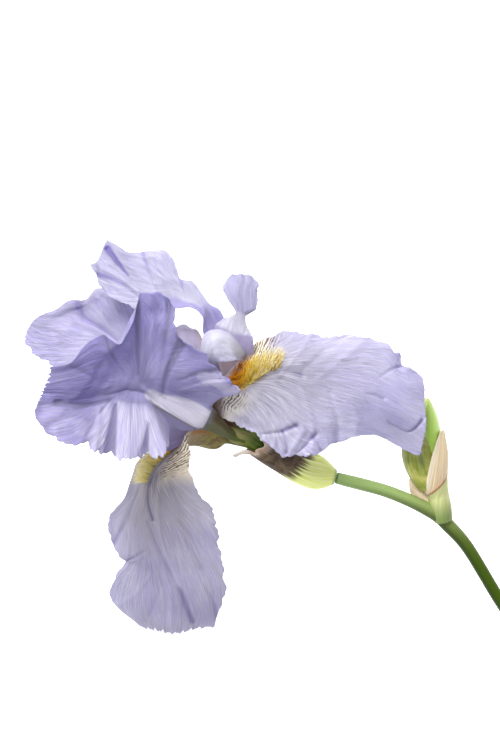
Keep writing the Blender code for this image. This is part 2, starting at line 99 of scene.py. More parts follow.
def worked_grid(name, cells_along, cells_across, shape):
    """A grid worked to shape(u, v): u from 0 at its foot to 1 at its tip, v from -1 to 1 across it."""
    bpy.ops.mesh.primitive_grid_add(x_subdivisions=cells_across, y_subdivisions=cells_along, size=2)
    piece = bpy.context.object
    piece.name = name
    piece.data.name = name
    flat = np.empty(len(piece.data.vertices) * 3)
    piece.data.vertices.foreach_get("co", flat)
    flat = flat.reshape(-1, 3)
    points = (shape((flat[:, 1] + 1) / 2, flat[:, 0]) + HEART) * MM
    piece.data.vertices.foreach_set("co", points.astype(np.float32).ravel())
    piece.data.update()
    return piece


def stalk_frame(path, place):
    """At places on a path: its middle, the radius, and the ways ahead, up and to the side."""
    station = smooth_line(path, place)
    ahead = smooth_line(path, place + 0.01)[:, :3] - smooth_line(path, place - 0.01)[:, :3]
    ahead /= np.linalg.norm(ahead, axis=1, keepdims=True)
    up = np.array((0.0, 0.0, 1.0)) - ahead * ahead[:, 2:3]
    up /= np.linalg.norm(up, axis=1, keepdims=True)
    return station[:, :3], station[:, 3:4], ahead, up, np.cross(ahead, up)


def close_up(piece):
    """Welds the seam and the drawn-in ends of a rolled grid, and turns its faces outwards."""
    bpy.ops.object.mode_set(mode="EDIT")
    bpy.ops.mesh.select_all(action="SELECT")
    bpy.ops.mesh.remove_doubles(threshold=0.002 * MM)
    bpy.ops.mesh.normals_make_consistent(inside=False)
    bpy.ops.object.mode_set(mode="OBJECT")
    piece.data.shade_smooth()


def stalk(name, path, cells_along, cells_round, rib_count=0, rib_height=0.0):
    """A closed round stalk: a grid rolled round its path, with its two ends drawn in to a flat cut."""
    def shape(u, v):
        inner = np.clip((u * cells_along - 1) / (cells_along - 2), 0, 1)
        middle, radius, ahead, up, side = stalk_frame(path, inner)
        turn = (math.pi * v)[:, None]
        radius = radius + rib_height * np.cos(rib_count * turn)
        at_end = (u < 0.5 / cells_along) | (u > 1 - 0.5 / cells_along)
        radius = np.where(at_end[:, None], 0.0, radius)
        return middle + (up * np.cos(turn) + side * np.sin(turn)) * radius

    piece = worked_grid(name, cells_along, cells_round, shape)
    close_up(piece)
    return piece


def apply_modifier(piece, modifier):
    bpy.context.view_layer.objects.active = piece
    bpy.ops.object.modifier_apply(modifier=modifier.name)


def unite(body, extra):
    """Grows the extra into the body, as one closed piece."""
    union = body.modifiers.new("union", "BOOLEAN")
    union.operation = "UNION"
    union.object = extra
    union.solver = "EXACT"
    apply_modifier(body, union)
    bpy.data.objects.remove(extra)


def hand_over(piece, finish, node):
    """Gives a piece its finish and its place in the frame, in the stead of the plain CAD node."""
    piece.data.materials.clear()
    piece.data.materials.append(finish)
    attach(piece, "root")
    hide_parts(node)


def wire(tree, value, socket):
    """Feeds a socket from another one, or sets it to a plain value."""
    if isinstance(value, bpy.types.NodeSocket):
        tree.links.new(value, socket)
    else:
        socket.default_value = value


def reckon(tree, operation, first, second=0.0, clamp=False):
    step = tree.nodes.new("ShaderNodeMath")
    step.operation = operation
    step.use_clamp = clamp
    wire(tree, first, step.inputs[0])
    wire(tree, second, step.inputs[1])
    return step.outputs[0]


def fade(tree, value, start, end, low=0.0, high=1.0):
    """A soft step from low to high, as the value goes from start to end."""
    step = tree.nodes.new("ShaderNodeMapRange")
    step.interpolation_type = "SMOOTHSTEP"
    for socket, number in zip(step.inputs, (value, start, end, low, high)):
        wire(tree, number, socket)
    return step.outputs[0]


def tint(tree, share, first, second, how="MIX"):
    """The first colour, taken towards the second by a share."""
    mix = tree.nodes.new("ShaderNodeMix")
    mix.data_type = "RGBA"
    mix.blend_type = how
    wire(tree, share, mix.inputs[0])
    wire(tree, first, mix.inputs[6])
    wire(tree, second, mix.inputs[7])
    return mix.outputs[2]


def mottle(tree, place, scale, detail=2.0):
    """A cloudy value from 0 to 1 at a place."""
    cloud = tree.nodes.new("ShaderNodeTexNoise")
    cloud.inputs["Scale"].default_value = scale
    cloud.inputs["Detail"].default_value = detail
    wire(tree, place, cloud.inputs["Vector"])
    return cloud.outputs["Fac"]


def place_of(tree, x, y, z=0.0):
    join = tree.nodes.new("ShaderNodeCombineXYZ")
    for socket, value in zip(join.inputs, (x, y, z)):
        wire(tree, value, socket)
    return join.outputs[0]


def piece_places(tree):
    """How far along (0 to 1) and across (-1 to 1) its own grid a point is, and where it is in space."""
    grid = tree.nodes.new("ShaderNodeUVMap")
    split = tree.nodes.new("ShaderNodeSeparateXYZ")
    tree.links.new(grid.outputs[0], split.inputs[0])
    across = reckon(tree, "SUBTRACT", reckon(tree, "MULTIPLY", split.outputs[0], 2.0), 1.0)
    space = tree.nodes.new("ShaderNodeTexCoord")
    return split.outputs[1], across, space.outputs["Object"]


def raise_bump(tree, shader, height, depth):
    """Turns a height from 0 to 1 into relief that is so many millimetres deep."""
    bump = tree.nodes.new("ShaderNodeBump")
    bump.inputs["Distance"].default_value = depth * MM
    tree.links.new(height, bump.inputs["Height"])
    tree.links.new(bump.outputs["Normal"], shader.inputs["Normal"])


def new_finish(name, roughness):
    finish = bpy.data.materials.new(name)
    finish.use_nodes = True
    shader = finish.node_tree.nodes["Principled BSDF"]
    shader.inputs["Roughness"].default_value = roughness
    return finish, finish.node_tree, shader


def fibre_group():
    """Fine lengthwise fibres, as on a stem or a bract, with a cloudy variation over them."""
    group = bpy.data.node_groups.new("plant_fibres", "ShaderNodeTree")
    group.interface.new_socket("Count", in_out="INPUT", socket_type="NodeSocketFloat")
    group.interface.new_socket("Fibres", in_out="OUTPUT", socket_type="NodeSocketFloat")
    group.interface.new_socket("Clouds", in_out="OUTPUT", socket_type="NodeSocketFloat")
    given = group.nodes.new("NodeGroupInput")
    result = group.nodes.new("NodeGroupOutput")
    along, across, space = piece_places(group)
    round_it = reckon(group, "MULTIPLY", across, given.outputs["Count"])
    drawn_out = place_of(group, round_it, reckon(group, "MULTIPLY", along, 3.0))
    wire(group, mottle(group, drawn_out, 1.0), result.inputs["Fibres"])
    wire(group, mottle(group, space, 90.0), result.inputs["Clouds"])
    return group


FIBRES = fibre_group()


def fibres(tree, count):
    use = tree.nodes.new("ShaderNodeGroup")
    use.node_tree = FIBRES
    use.inputs["Count"].default_value = count
    return use.outputs["Fibres"], use.outputs["Clouds"]


stem_skin, tree, shader = new_finish("stem_skin", 0.42)
shader.inputs["Specular IOR Level"].default_value = 0.1
along, across, space = piece_places(tree)
streak, cloud = fibres(tree, 26.0)
green = tint(tree, fade(tree, along, 0.2, 0.55), (0.35, 0.50, 0.18, 1), (0.21, 0.26, 0.085, 1))
green = tint(tree, fade(tree, streak, 0.35, 0.65, 0.0, 0.25), green, (0.25, 0.34, 0.08, 1))
# Darker towards the cut end.
green = tint(tree, fade(tree, along, 0.5, 0.75), green, (0.05, 0.09, 0.004, 1))
# Painted shade: the lower-left side of the stem is darkened, more strongly towards its cut end.
painted_shade_side = reckon(tree, "MULTIPLY", fade(tree, across, -0.15, 0.3), fade(tree, along, 0.1, 0.7, 0.35, 0.9))
green = tint(tree, painted_shade_side, green, (0.022, 0.045, 0.003, 1))
wire(tree, green, shader.inputs["Base Color"])
raise_bump(tree, shader, streak, 0.12)

stem = stalk("stem_stalk", STEM_PATH, 90, 36)
bud_stalk = stalk("bud_stalk", BUD_STALK_PATH, 12, 24)
unite(stem, bud_stalk)
hand_over(stem, stem_skin, "stem")

# Ovary and tube
# The ovary swells inside the bracts and narrows to a short smooth green tube. The tube opens to the
# ring that all the petals and style arms grow from.

TUBE_PATH = [
    (34.9, -16.3, -4.8, 2.5),
    (28, -14.5, -4.5, 4.2),
    (21, -11.5, -3.5, 4.5),
    (13, -7.8, -2, 3.4),
    (7, -4.5, -0.6, 3.3),
    (3.2, -2.2, -0.1, 3.6),
    (0.5, -0.3, 0, 4.5),
    (-2.5, 1.5, 0, 5.2),
    (-5, 3, 0, 5.5),
    (-7.5, 4.5, 0, 4.8),
    (-9.5, 5.6, 0, 3.6),
]

tube_skin, tree, shader = new_finish("tube_skin", 0.38)
shader.inputs["Specular IOR Level"].default_value = 0.25
along, across, space = piece_places(tree)
streak, cloud = fibres(tree, 14.0)
green = tint(tree, fade(tree, along, 0.5, 0.68), (0.05, 0.095, 0.004, 1), (0.20, 0.19, 0.06, 1))
green = tint(tree, fade(tree, streak, 0.4, 0.7, 0.0, 0.5), green, (0.15, 0.19, 0.025, 1))
off_line = reckon(tree, "ABSOLUTE", reckon(tree, "ADD", across, 0.43))
green = tint(tree, fade(tree, off_line, 0.035, 0.01, 0.0, 0.6), green, (0.52, 0.48, 0.30, 1))
wire(tree, green, shader.inputs["Base Color"])
raise_bump(tree, shader, streak, 0.15)

tube = stalk("flower_tube", TUBE_PATH, 60, 36, rib_count=6, rib_height=0.12)
hand_over(tube, tube_skin, "ovary_tube")

# Bracts round the ovary
# Two boat-shaped leaves clasp the ovary. They are fleshy and yellow-green at the base, and dry to
# brown paper towards their torn pale tips. Fine ribs run along them.

SPATHE_OUTER = [                             # place on the tube, lift off it, angle from, angle to
    (0.0, 0.15, -165, 165),
    (0.02, 0.7, -165, 160),
    (0.045, 1.5, -165, 150),
    (0.1, 2.3, -150, 130),
    (0.18, 2.4, -145, 115),
    (0.27, 2.5, -135, 115),
    (0.36, 2.3, -130, 110),
    (0.43, 1.9, -125, 110),
    (0.5, 1.6, -120, 95),
]
SPATHE_INNER = [
    (0.045, 0.9, -265, -95),
    (0.18, 1.25, -265, -90),
    (0.27, 1.35, -260, -90),
    (0.36, 1.15, -240, -75),
    (0.45, 1.4, -200, -60),
    (0.52, 2.4, -150, -60),
    (0.59, 3.4, -115, -65),
    (0.66, 4.2, -96, -84),
]
BRACT_WALL = 0.45


def thicken(piece, wall):
    """Gives a worked grid a wall of even thickness, as one closed skin."""
    solid = piece.modifiers.new("wall", "SOLIDIFY")
    solid.thickness = wall * MM
    solid.offset = 0.0
    apply_modifier(piece, solid)
    piece.data.shade_smooth()


def mark_points(piece, title, values):
    """Keeps a value at each point of a worked grid, on both sides of the wall that it was given."""
    marks = piece.data.attributes.new(title, "FLOAT", "POINT")
    marks.data.foreach_set("value", np.resize(values, len(piece.data.vertices)))


def bract(name, path, rows, cells, ribs=0, rib_height=0.0, curl=0.0, torn=0.0, flare=0.0):
    """A leaf that clasps a stalk. Angle 0 is straight up; ribs run along it, its tip may curl or be torn."""
    def shape(u, v):
        tear = 0.5 + 0.3 * np.sin(5 * v + 1) + 0.2 * np.sin(13 * v)
        u = u * (1 - torn * tear * u ** 3)
        row = smooth_line(rows, u)
        middle, radius, ahead, up, side = stalk_frame(path, row[:, 0])
        turn = np.radians(row[:, 2] + (row[:, 3] - row[:, 2]) * (v + 1) / 2)[:, None]
        lift = row[:, 1:2] + rib_height * np.cos(math.pi * ribs * v)[:, None]
        lift = lift + (curl * u ** 6 * np.sin(7 * v + 2) - flare * v * u ** 5 * (1 - u) * 12)[:, None]
        return middle + (up * np.cos(turn) + side * np.sin(turn)) * (radius + lift)

    piece = worked_grid(name, cells[0], cells[1], shape)
    thicken(piece, BRACT_WALL)
    return piece




def spathe_skin(name, dry_from, tip_from):
    """Yellow-green and ribbed at its base, then mottled brown paper, and paler at its tip."""
    finish, tree, shader = new_finish(name, 0.6)
    shader.inputs["Specular IOR Level"].default_value = 0.25
    along, across, space = piece_places(tree)
    streak, cloud = fibres(tree, 22.0)
    blotch = mottle(tree, space, 260.0, 4.0)
    uneven = reckon(tree, "MULTIPLY", reckon(tree, "SUBTRACT", streak, 0.5), 0.2)
    dry = reckon(tree, "ADD", reckon(tree, "ADD", along, uneven), reckon(tree, "MULTIPLY", across, 0.08))
    green = tint(tree, fade(tree, streak, 0.35, 0.65), (0.84, 0.88, 0.36, 1), (0.70, 0.78, 0.20, 1))
    green = tint(tree, fade(tree, along, 0.12, 0.0), green, (0.30, 0.43, 0.12, 1))
    brown = tint(tree, fade(tree, blotch, 0.4, 0.62), (0.06, 0.036, 0.02, 1), (0.14, 0.10, 0.058, 1))
    brown = tint(tree, fade(tree, streak, 0.5, 0.75, 0.0, 0.6), brown, (0.19, 0.145, 0.08, 1))
    colour = tint(tree, fade(tree, dry, dry_from, dry_from + 0.08), green, brown)
    tan = tint(tree, fade(tree, blotch, 0.4, 0.6), (0.70, 0.58, 0.47, 1), (0.42, 0.28, 0.18, 1))
    colour = tint(tree, fade(tree, dry, tip_from, tip_from + 0.18), colour, tan)
    pale_end = fade(tree, dry, tip_from + 0.16, tip_from + 0.3)
    colour = tint(tree, pale_end, colour, (0.82, 0.78, 0.70, 1))
    wire(tree, colour, shader.inputs["Base Color"])
    raise_bump(tree, shader, streak, 0.25)
    return finish



outer = bract("spathe_leaf_outer", TUBE_PATH, SPATHE_OUTER, (60, 60), ribs=14, rib_height=0.1, curl=0.5, torn=0.12)
hand_over(outer, spathe_skin("spathe_outer_skin", 0.5, 0.8), "spathe_outer")
inner = bract("spathe_leaf_inner", TUBE_PATH, SPATHE_INNER, (60, 44), ribs=10, rib_height=0.08, curl=0.2, flare=2.0)
hand_over(inner, spathe_skin("spathe_inner_skin", 0.4, 0.6), "spathe_inner")

# Falls
# Three broad petals that spread and hang. Each stands on a narrow foot with brown stripes on cream,
# and widens to a ruffled lavender blade, thin as paper, with veins that fan and branch to its margin.

PETAL_WALL = 0.32
BLOOM_AXIS = np.array((-0.86, 0.51, 0.0))
BLOOM_SIDE = np.array((0.51, 0.86, 0.0))
CLAW_RINGS = ((0.0, 4.2, 1.05), (5.6, 5.6, 1.11))     # height, radius, and how far out the rib stands
CLAW_HALF_ANGLE = 22.0


def ring_point(angle, height, radius):
    """A point round the bloom's axis. Angle 0 is level, on the far side, and 90 is straight up."""
    turn = math.radians(angle)
    out = BLOOM_SIDE * math.cos(turn) + np.array((0.0, 0.0, math.sin(turn)))
    return BLOOM_AXIS * height + out * radius


def claw(angle):
    """The two lowest rows of a petal that stands at this angle round the tube."""
    rows = []
    for height, radius, crown in CLAW_RINGS:
        row = []
        for side in (1, 0.5, 0, -0.5, -1):
            out = radius * (1 + (crown - 1) * (1 - side ** 2))
            row.append(ring_point(angle + CLAW_HALF_ANGLE * side, height, out))
        rows.append(row)
    return rows


FALL_RIGHT = claw(60) + [
    [(-12.5, 7, 8), (-12.5, 9, 11), (-10.5, 11.5, 13), (-7.5, 13.5, 10), (-4.5, 16, 5)],
    [(-15, 9.5, 8), (-16, 13.5, 14), (-14, 17.5, 19), (-9.5, 23, 14), (-3, 28.5, 5)],
    [(-11.5, 8.5, 11), (-12, 15, 20), (-9.5, 22, 26), (-4.5, 28.5, 20), (0.5, 34.5, 8)],
    [(-7, 6.5, 14), (-6, 14, 22), (-2.5, 21.5, 27), (1, 29.5, 22), (3.5, 38, 11)],
    [(-2.5, 4, 17), (-0.5, 12.5, 23), (3, 23.5, 28), (6.5, 31.5, 22), (8, 40, 12)],
    [(3, 1, 20), (5.5, 12, 25), (9.5, 25, 28), (12.5, 32.5, 23), (15, 42, 13)],
    [(7, -3, 21), (11.5, 10.5, 25), (16, 25, 28), (20.5, 32.5, 23), (22, 41.5, 14)],
    [(12.5, -7.5, 21), (17.5, 8.5, 25), (23, 23, 26), (27.5, 32, 22), (29, 40.5, 14)],
    [(19.5, -8, 20), (24.5, 7, 24), (30, 21.5, 24), (34.5, 31.5, 21), (36.5, 41, 14)],
    [(26, -7, 20), (31.5, 7.5, 23), (37.5, 19.5, 23), (42, 30.5, 19), (44, 41, 13)],
    [(33, -3, 18), (39.5, 8, 20), (44.5, 17.5, 21), (48.5, 29, 17), (51, 39, 11)],
    [(41, 0, 15), (46.5, 8, 17), (50.5, 15.5, 18), (54.5, 26, 14), (56.5, 36.5, 9)],
    [(49, 0.5, 11), (53.5, 6, 13), (56.5, 13, 15), (59.5, 22.5, 12), (59.5, 29.5, 8)],
    [(57.5, -2.5, 5), (59.5, 4, 8), (62, 10, 11), (64, 19.5, 10), (63.5, 28.5, 8)],
    [(63.5, -6, 1), (65.5, 1.5, 4), (67, 8, 7), (67.5, 17.5, 7), (67, 27, 6)],
    [(69, -8, -1), (70.5, -1, 2), (71, 7, 4), (70.5, 15.5, 5), (69.5, 23.5, 5)],
]
FALL_LOWER = claw(180) + [
    [(-13.5, -5, -8), (-13.5, -4, -6), (-13, -3, -3), (-13, 0, 2), (-13.5, 3, 6)],
    [(-24, -3, -10), (-23.5, -3.5, -6), (-21, -3, 0), (-20, 0, 5), (-18.5, 3.5, 9)],
    [(-34, -4, -8), (-32, -4.5, -2), (-28, -4.5, 5), (-25.5, -1.5, 11), (-24.5, 1.5, 14)],
    [(-42, -7.5, -5), (-39, -8.5, 1), (-35, -10, 7), (-28, -7.5, 12), (-22.5, -5, 15)],
    [(-45.5, -11.5, -4), (-42, -12.5, 2), (-37.5, -14, 8), (-30, -12, 10), (-23, -11, 12)],
    [(-47, -17.5, -4), (-43, -18, 2), (-39, -19, 8), (-30.5, -17, 9), (-21.5, -16.5, 9)],
    [(-49.5, -24, -5), (-44.5, -24.5, 0), (-39.5, -25.5, 5), (-29.5, -23.5, 6), (-18, -23.5, 6)],
    [(-54.5, -30, -7), (-47, -30.5, -3), (-39, -31.5, 1), (-27, -30.5, 2), (-13, -29.5, 2)],
    [(-57, -34.5, -9), (-48, -36, -6), (-39, -37.5, -3), (-25.5, -36, -2), (-12, -36, -1)],
    [(-55.5, -42, -12), (-47, -42, -10), (-38, -43, -8), (-24.5, -42.5, -6), (-11, -42.5, -5)],
    [(-53, -49, -16), (-46, -48.5, -14), (-37, -48.5, -12), (-23.5, -49, -10), (-10, -49, -9)],
    [(-50, -51, -19), (-44.5, -53, -18), (-35.5, -54.5, -17), (-22.5, -54.5, -15), (-9, -55.5, -14)],
    [(-55, -57.5, -23), (-45.5, -59, -23), (-34, -60.5, -22), (-21.5, -61, -20), (-8.5, -62, -19)],
    [(-57, -64, -28), (-45.5, -65.5, -28), (-32.5, -67, -28), (-21, -67, -26), (-10, -68, -25)],
    [(-55, -70.5, -34), (-44.5, -73.5, -35), (-31.5, -75, -35), (-20, -74.5, -33), (-12, -74, -32)],
    [(-45.5, -78.5, -41.5), (-40, -81.5, -43), (-32, -83, -44), (-23, -81.5, -43), (-14, -79.5, -41.5)],
]
FALL_UNDER = claw(300) + [
    [(-4, 16.5, -5), (-7.5, 14, -10.5), (-10, 12, -13), (-11.5, 10, -12), (-12, 8, -8)],
    [(-5, 28.5, -10), (-10, 23, -18), (-13.5, 19, -21), (-15.5, 16, -19), (-16, 13.5, -12)],
    [(-3.5, 34, -16), (-7, 28.5, -27), (-10, 23, -31), (-12, 17.5, -29), (-13, 12, -20)],
    [(8, 35, -26), (4, 28.5, -34.5), (1, 22, -37), (-1.5, 15, -33.5), (-3.5, 8, -24)],
    [(19.5, 36, -31), (16, 28.5, -39), (13, 20.5, -41.5), (10.5, 12.5, -38), (9, 4.5, -28)],
    [(31.5, 34.5, -34), (29.5, 27, -42), (27.5, 19, -44), (25.5, 10.5, -41), (23.5, 1.5, -32)],
    [(46, 35, -37), (44, 26.5, -43.5), (42.5, 18, -45.5), (41, 10, -43), (40, 2, -36)],
    [(58.5, 35, -39), (58, 25.5, -44), (57, 17.5, -45.5), (55.5, 10.5, -44), (53, 4.5, -39)],
    [(63, 35, -40), (64, 27, -42.5), (64, 20, -43.5), (63, 14, -43), (60.5, 8.5, -41)],
]

RIGHT_FOLDS = [
    ([(1.5, 22), (13.5, 26), (21, 24.5)], 1.3, -0.9),
    ([(5.5, 1.5), (12.5, 2.5), (19, 5)], 1.1, -1.4),
    ([(19.5, -5.5), (23, -2.5), (26.5, 1.5)], 1.1, -1.4),
    ([(15.5, -7), (19, -1.5), (21.5, 2.5)], 1.6, 1.2),
    ([(10, 4), (10.5, -0.5), (10, -3.5)], 0.9, 0.9),
    ([(13.5, 3), (15, -2.5), (15.5, -6)], 1, -1.3),
    ([(22.5, 4), (26, -0.5), (28.5, -4.5)], 1.1, -1.2),
    ([(25, 5.5), (30, 1), (32, -3)], 1, 0.8),
    ([(20.5, 26), (32, 35.5), (38, 41)], 2.4, -0.7),
    ([(27.5, 23.5), (41, 34), (47, 40)], 2.4, 0.9),
    ([(32, 18), (34.5, 7), (34.5, -3)], 2.4, -1),
    ([(40, 16), (43, 7), (42, 0.5)], 2.4, 1),
    ([(46.5, 17.5), (50, 17), (53.5, 15.5)], 0.7, -0.9),
    ([(52, 24), (57, 27), (61.5, 28.5)], 1, -1.1),
    ([(55.5, 6.5), (61.5, 3), (65, 2.5), (69, 7)], 1, -1.3),
    ([(51.5, 11.5), (59.5, -1), (62, -5.5)], 2.4, 0.5),
    ([(20.5, 21), (25, 7), (25, -7)], 1.6, 0.8),
    ([(11, 23), (20.5, 34), (25, 40.5)], 1.4, 0.8),
]
LOWER_FOLDS = [
    ([(-32, -7.5), (-36, -12), (-39, -19.5), (-39.5, -26.5), (-38, -33)], 0.9, -1.3),
    ([(-40, -34), (-35, -47), (-27.5, -63.5), (-23, -77)], 1.6, -1.3),
    ([(-34, -13), (-36, -25), (-34.5, -41.5), (-28, -59.5)], 1.6, 0.8),
    ([(-24.5, -17), (-17.5, -27), (-13, -41)], 2.4, 0.6),
    ([(-30.5, -17), (-24, -33), (-18.5, -53)], 2.6, -0.6),
    ([(-43.5, -21.5), (-49, -33.5), (-54.5, -43.5)], 1.6, -1),
    ([(-41.5, -46), (-46, -49), (-51, -50.5)], 1, -1.2),
    ([(-40, -57), (-46.5, -65), (-53.5, -70)], 1.4, 0.6),
    ([(-34.5, -59.5), (-38.5, -70), (-42, -76.5)], 1.3, -0.5),
    ([(-31.5, -61.5), (-31.5, -71), (-32, -80)], 1.3, 1),
    ([(-26.5, -61.5), (-27, -72), (-28, -79)], 1, -0.4),
    ([(-19.5, -57), (-14.5, -67), (-13, -74.5)], 1.6, -1),
]


def row_surface(rows, u, v):
    """The plain petal. Each row is a smooth curve across it, from its left edge to its right edge."""
    columns = smooth_line(rows, u)
    shares = smooth_line(np.eye(columns.shape[1]), (v + 1) / 2)
    return (columns * shares[:, :, None]).sum(axis=1)


def row_normals(rows, u, v):
    step = 0.002
    along = row_surface(rows, np.clip(u + step, 0, 1), v) - row_surface(rows, np.clip(u - step, 0, 1), v)
    across = row_surface(rows, u, np.clip(v + step, -1, 1)) - row_surface(rows, u, np.clip(v - step, -1, 1))
    normal = np.cross(along, across)
    return normal / np.maximum(np.linalg.norm(normal, axis=1, keepdims=True), 1e-9)


def folds_over(points, folds):
    """Height of the folds. Each runs over the petal as seen from above, and widens to its far end."""
    height = np.zeros(len(points))
    for line, width, rise in folds:
        way = smooth_line(line, np.linspace(0, 1, 60))
        away = np.linalg.norm(points[:, None, :2] - way[None], axis=2)
        swell = 0.45 + 0.55 * away.argmin(axis=1) / 59
        height += rise * swell * np.exp(-(away.min(axis=1) / (width * swell)) ** 2)
    return height


def ruffle(u, v, waves):
    """Height of the ruffles: waves that fan out from the foot and grow towards the edge and tip."""
    fan = v * (0.3 + 0.7 * (1 - u ** 2))
    near_edge = 1 - (1 - np.abs(v) ** 2.5) * (1 - u ** 4)
    past_claw = np.clip((u - 0.12) / 0.25, 0, 1)
    height = np.zeros_like(u)
    for size, count, shift in waves:
        height += size * np.sin(2 * math.pi * (count * fan + shift))
    return height * near_edge ** 1.5 * past_claw ** 2


def margin_turn(u, v):
    """How far round its margin a point of the petal is."""
    return np.arctan2(v, (u - 0.3) * 1.6)


def crimp(u, v, size):
    """Fine crimps that run in from the margin along the veins, no two alike."""
    turn = margin_turn(u, v)
    edge = np.maximum(np.abs(v), 0.8 * np.clip((u - 0.7) / 0.3, 0, 1) ** 0.5)
    near_edge = np.clip((edge - 0.5) / 0.5, 0, 1) ** 2
    past_claw = np.clip((u - 0.2) / 0.15, 0, 1)
    wave = np.sin(23 * turn + 2.0) + 0.7 * np.sin(41 * turn + 3 * u) + 0.5 * np.sin(67 * turn + 1.0)
    swell = 0.6 + 0.4 * np.sin(5 * turn + 1.3)
    return size * 0.5 * wave * swell * near_edge * past_claw


def ragged(u, v, size, tip_share=0.25):
    """Notches the margin, so that it's finely scalloped: round lobes with narrow cuts between them."""
    turn = margin_turn(u, v)
    notch = np.zeros_like(u)
    for share, count, shift in ((0.4, 23, 1.0), (0.35, 41, 0.4), (0.25, 89, 2.0)):
        notch += share * (1 - np.abs(np.sin(count * turn + shift)) ** 0.8)
    draw = size * notch * np.clip((u - 0.15) / 0.2, 0, 1)
    return u * (1 - tip_share * draw * u ** 6), v * (1 - draw * np.abs(v) ** 3)


def petal(name, rows, cells, waves, crimps, folds, tip_share=0.12):
    """A petal worked from its rows: its folds and ruffles first, then the crimps of its margin."""
    depths = []

    def shape(u, v):
        u, v = ragged(u, v, 0.09, tip_share)
        points = row_surface(rows, u, v)
        height = ruffle(u, v, waves) + crimp(u, v, crimps)
        folded = folds_over(points, folds)
        # How deep each point lies in a fold, kept for the painted crease shade.
        depths.extend(np.clip(-folded / 1.5, 0, 1))
        bent = points + row_normals(rows, u, v) * height[:, None]
        bent[:, 2] += folded
        return bent

    piece = worked_grid(name, cells[0], cells[1], shape)
    thicken(piece, PETAL_WALL)
    mark_points(piece, "crease", depths)
    return piece


def vein_group():
    """Veins that fan from the petal's foot and branch twice on their way to the margin."""
    group = bpy.data.node_groups.new("petal_veins", "ShaderNodeTree")
    for name in ("Start", "Reach", "Bend", "Count"):
        group.interface.new_socket(name, in_out="INPUT", socket_type="NodeSocketFloat")
    for name in ("Veins", "Streaks", "Turn", "Distance"):
        group.interface.new_socket(name, in_out="OUTPUT", socket_type="NodeSocketFloat")
    given = group.nodes.new("NodeGroupInput")
    result = group.nodes.new("NodeGroupOutput")
    along, across, space = piece_places(group)
    ahead = reckon(group, "SUBTRACT", along, given.outputs["Start"])
    curved = reckon(group, "POWER", reckon(group, "ABSOLUTE", ahead), given.outputs["Bend"])
    ahead = reckon(group, "MULTIPLY", reckon(group, "SIGN", ahead), curved)
    ahead = reckon(group, "MULTIPLY", ahead, given.outputs["Reach"])
    turn = reckon(group, "ARCTAN2", across, ahead)
    square = reckon(group, "ADD", reckon(group, "MULTIPLY", across, across), reckon(group, "MULTIPLY", ahead, ahead))
    distance = reckon(group, "SQRT", square)
    veins = 0.0
    for branching, stretch, near, far in ((1.0, 1.2, 0.0, 0.15), (2.1, 2.0, 0.35, 0.6), (4.3, 3.0, 0.75, 1.0)):
        round_it = reckon(group, "MULTIPLY", turn, reckon(group, "MULTIPLY", given.outputs["Count"], branching))
        spot = place_of(group, round_it, reckon(group, "MULTIPLY", distance, stretch), branching)
        cloud = mottle(group, spot, 1.0, 1.0)
        off_line = reckon(group, "ABSOLUTE", reckon(group, "SUBTRACT", cloud, 0.5))
        line = fade(group, off_line, 0.06, 0.0)
        shown = reckon(group, "MULTIPLY", line, fade(group, distance, near, far))
        veins = reckon(group, "MAXIMUM", veins, shown)
    fine = place_of(group, reckon(group, "MULTIPLY", turn, 110.0), reckon(group, "MULTIPLY", distance, 4.0))
    wire(group, veins, result.inputs["Veins"])
    wire(group, mottle(group, fine, 1.0, 3.0), result.inputs["Streaks"])
    wire(group, turn, result.inputs["Turn"])
    wire(group, distance, result.inputs["Distance"])
    return group


VEINS = vein_group()


def fan_veins(tree, start, reach, bend, count):
    use = tree.nodes.new("ShaderNodeGroup")
    use.node_tree = VEINS
    for name, value in (("Start", start), ("Reach", reach), ("Bend", bend), ("Count", count)):
        use.inputs[name].default_value = value
    return [use.outputs[name] for name in ("Veins", "Streaks", "Turn", "Distance")]


PALE = (0.74, 0.73, 0.86, 1)
LAVENDER = (0.60, 0.575, 0.79, 1)
DEEP = (0.34, 0.29, 0.63, 1)


def let_light_through(finish, colour, share):
    """Mixes in light that shines through the petal from behind."""
    tree = finish.node_tree
    shader = tree.nodes["Principled BSDF"]
    glow = tree.nodes.new("ShaderNodeBsdfTranslucent")
    mix = tree.nodes.new("ShaderNodeMixShader")
    wire(tree, tint(tree, 0.5, colour, LAVENDER, "MULTIPLY"), glow.inputs["Color"])
    mix.inputs[0].default_value = share
    tree.links.new(shader.outputs[0], mix.inputs[1])
    tree.links.new(glow.outputs[0], mix.inputs[2])
    tree.links.new(mix.outputs[0], tree.nodes["Material Output"].inputs["Surface"])


FOOT_GREEN = (0.17, 0.22, 0.04, 1)
FOOT_OLIVE = (0.38, 0.32, 0.07, 1)
FOOT_BROWN = (0.12, 0.06, 0.035, 1)
THROAT_SHADE_PINK = (0.42, 0.33, 0.36, 1)
THROAT_OLIVE = (0.40, 0.28, 0.13, 1)


def blade_colours(tree, space, veins, streaks, shares, colours):
    """Lavender with paler clouds, finely streaked and veined."""
    pale_share, streak_share, vein_share = shares
    cloud = fade(tree, mottle(tree, space, 45.0), 0.35, 0.65, pale_share, 1.0)
    colour = tint(tree, cloud, colours[0], colours[1])
    grain = fade(tree, mottle(tree, space, 1300.0), 0.5, 0.68, 0.0, 0.12)
    colour = tint(tree, grain, colour, PALE)
    colour = tint(tree, fade(tree, streaks, 0.42, 0.6, 0.0, streak_share), colour, DEEP)
    return tint(tree, reckon(tree, "MULTIPLY", veins, vein_share), colour, DEEP)


def paint_crease_shade(tree, colour, share, shade_colour):
    """Paints shade into the creases: darkens a colour where the petal is folded in."""
    crease_depth = tree.nodes.new("ShaderNodeAttribute")
    crease_depth.attribute_name = "crease"
    return tint(tree, fade(tree, crease_depth.outputs["Fac"], 0.2, 0.9, 0.0, share), colour, shade_colour)


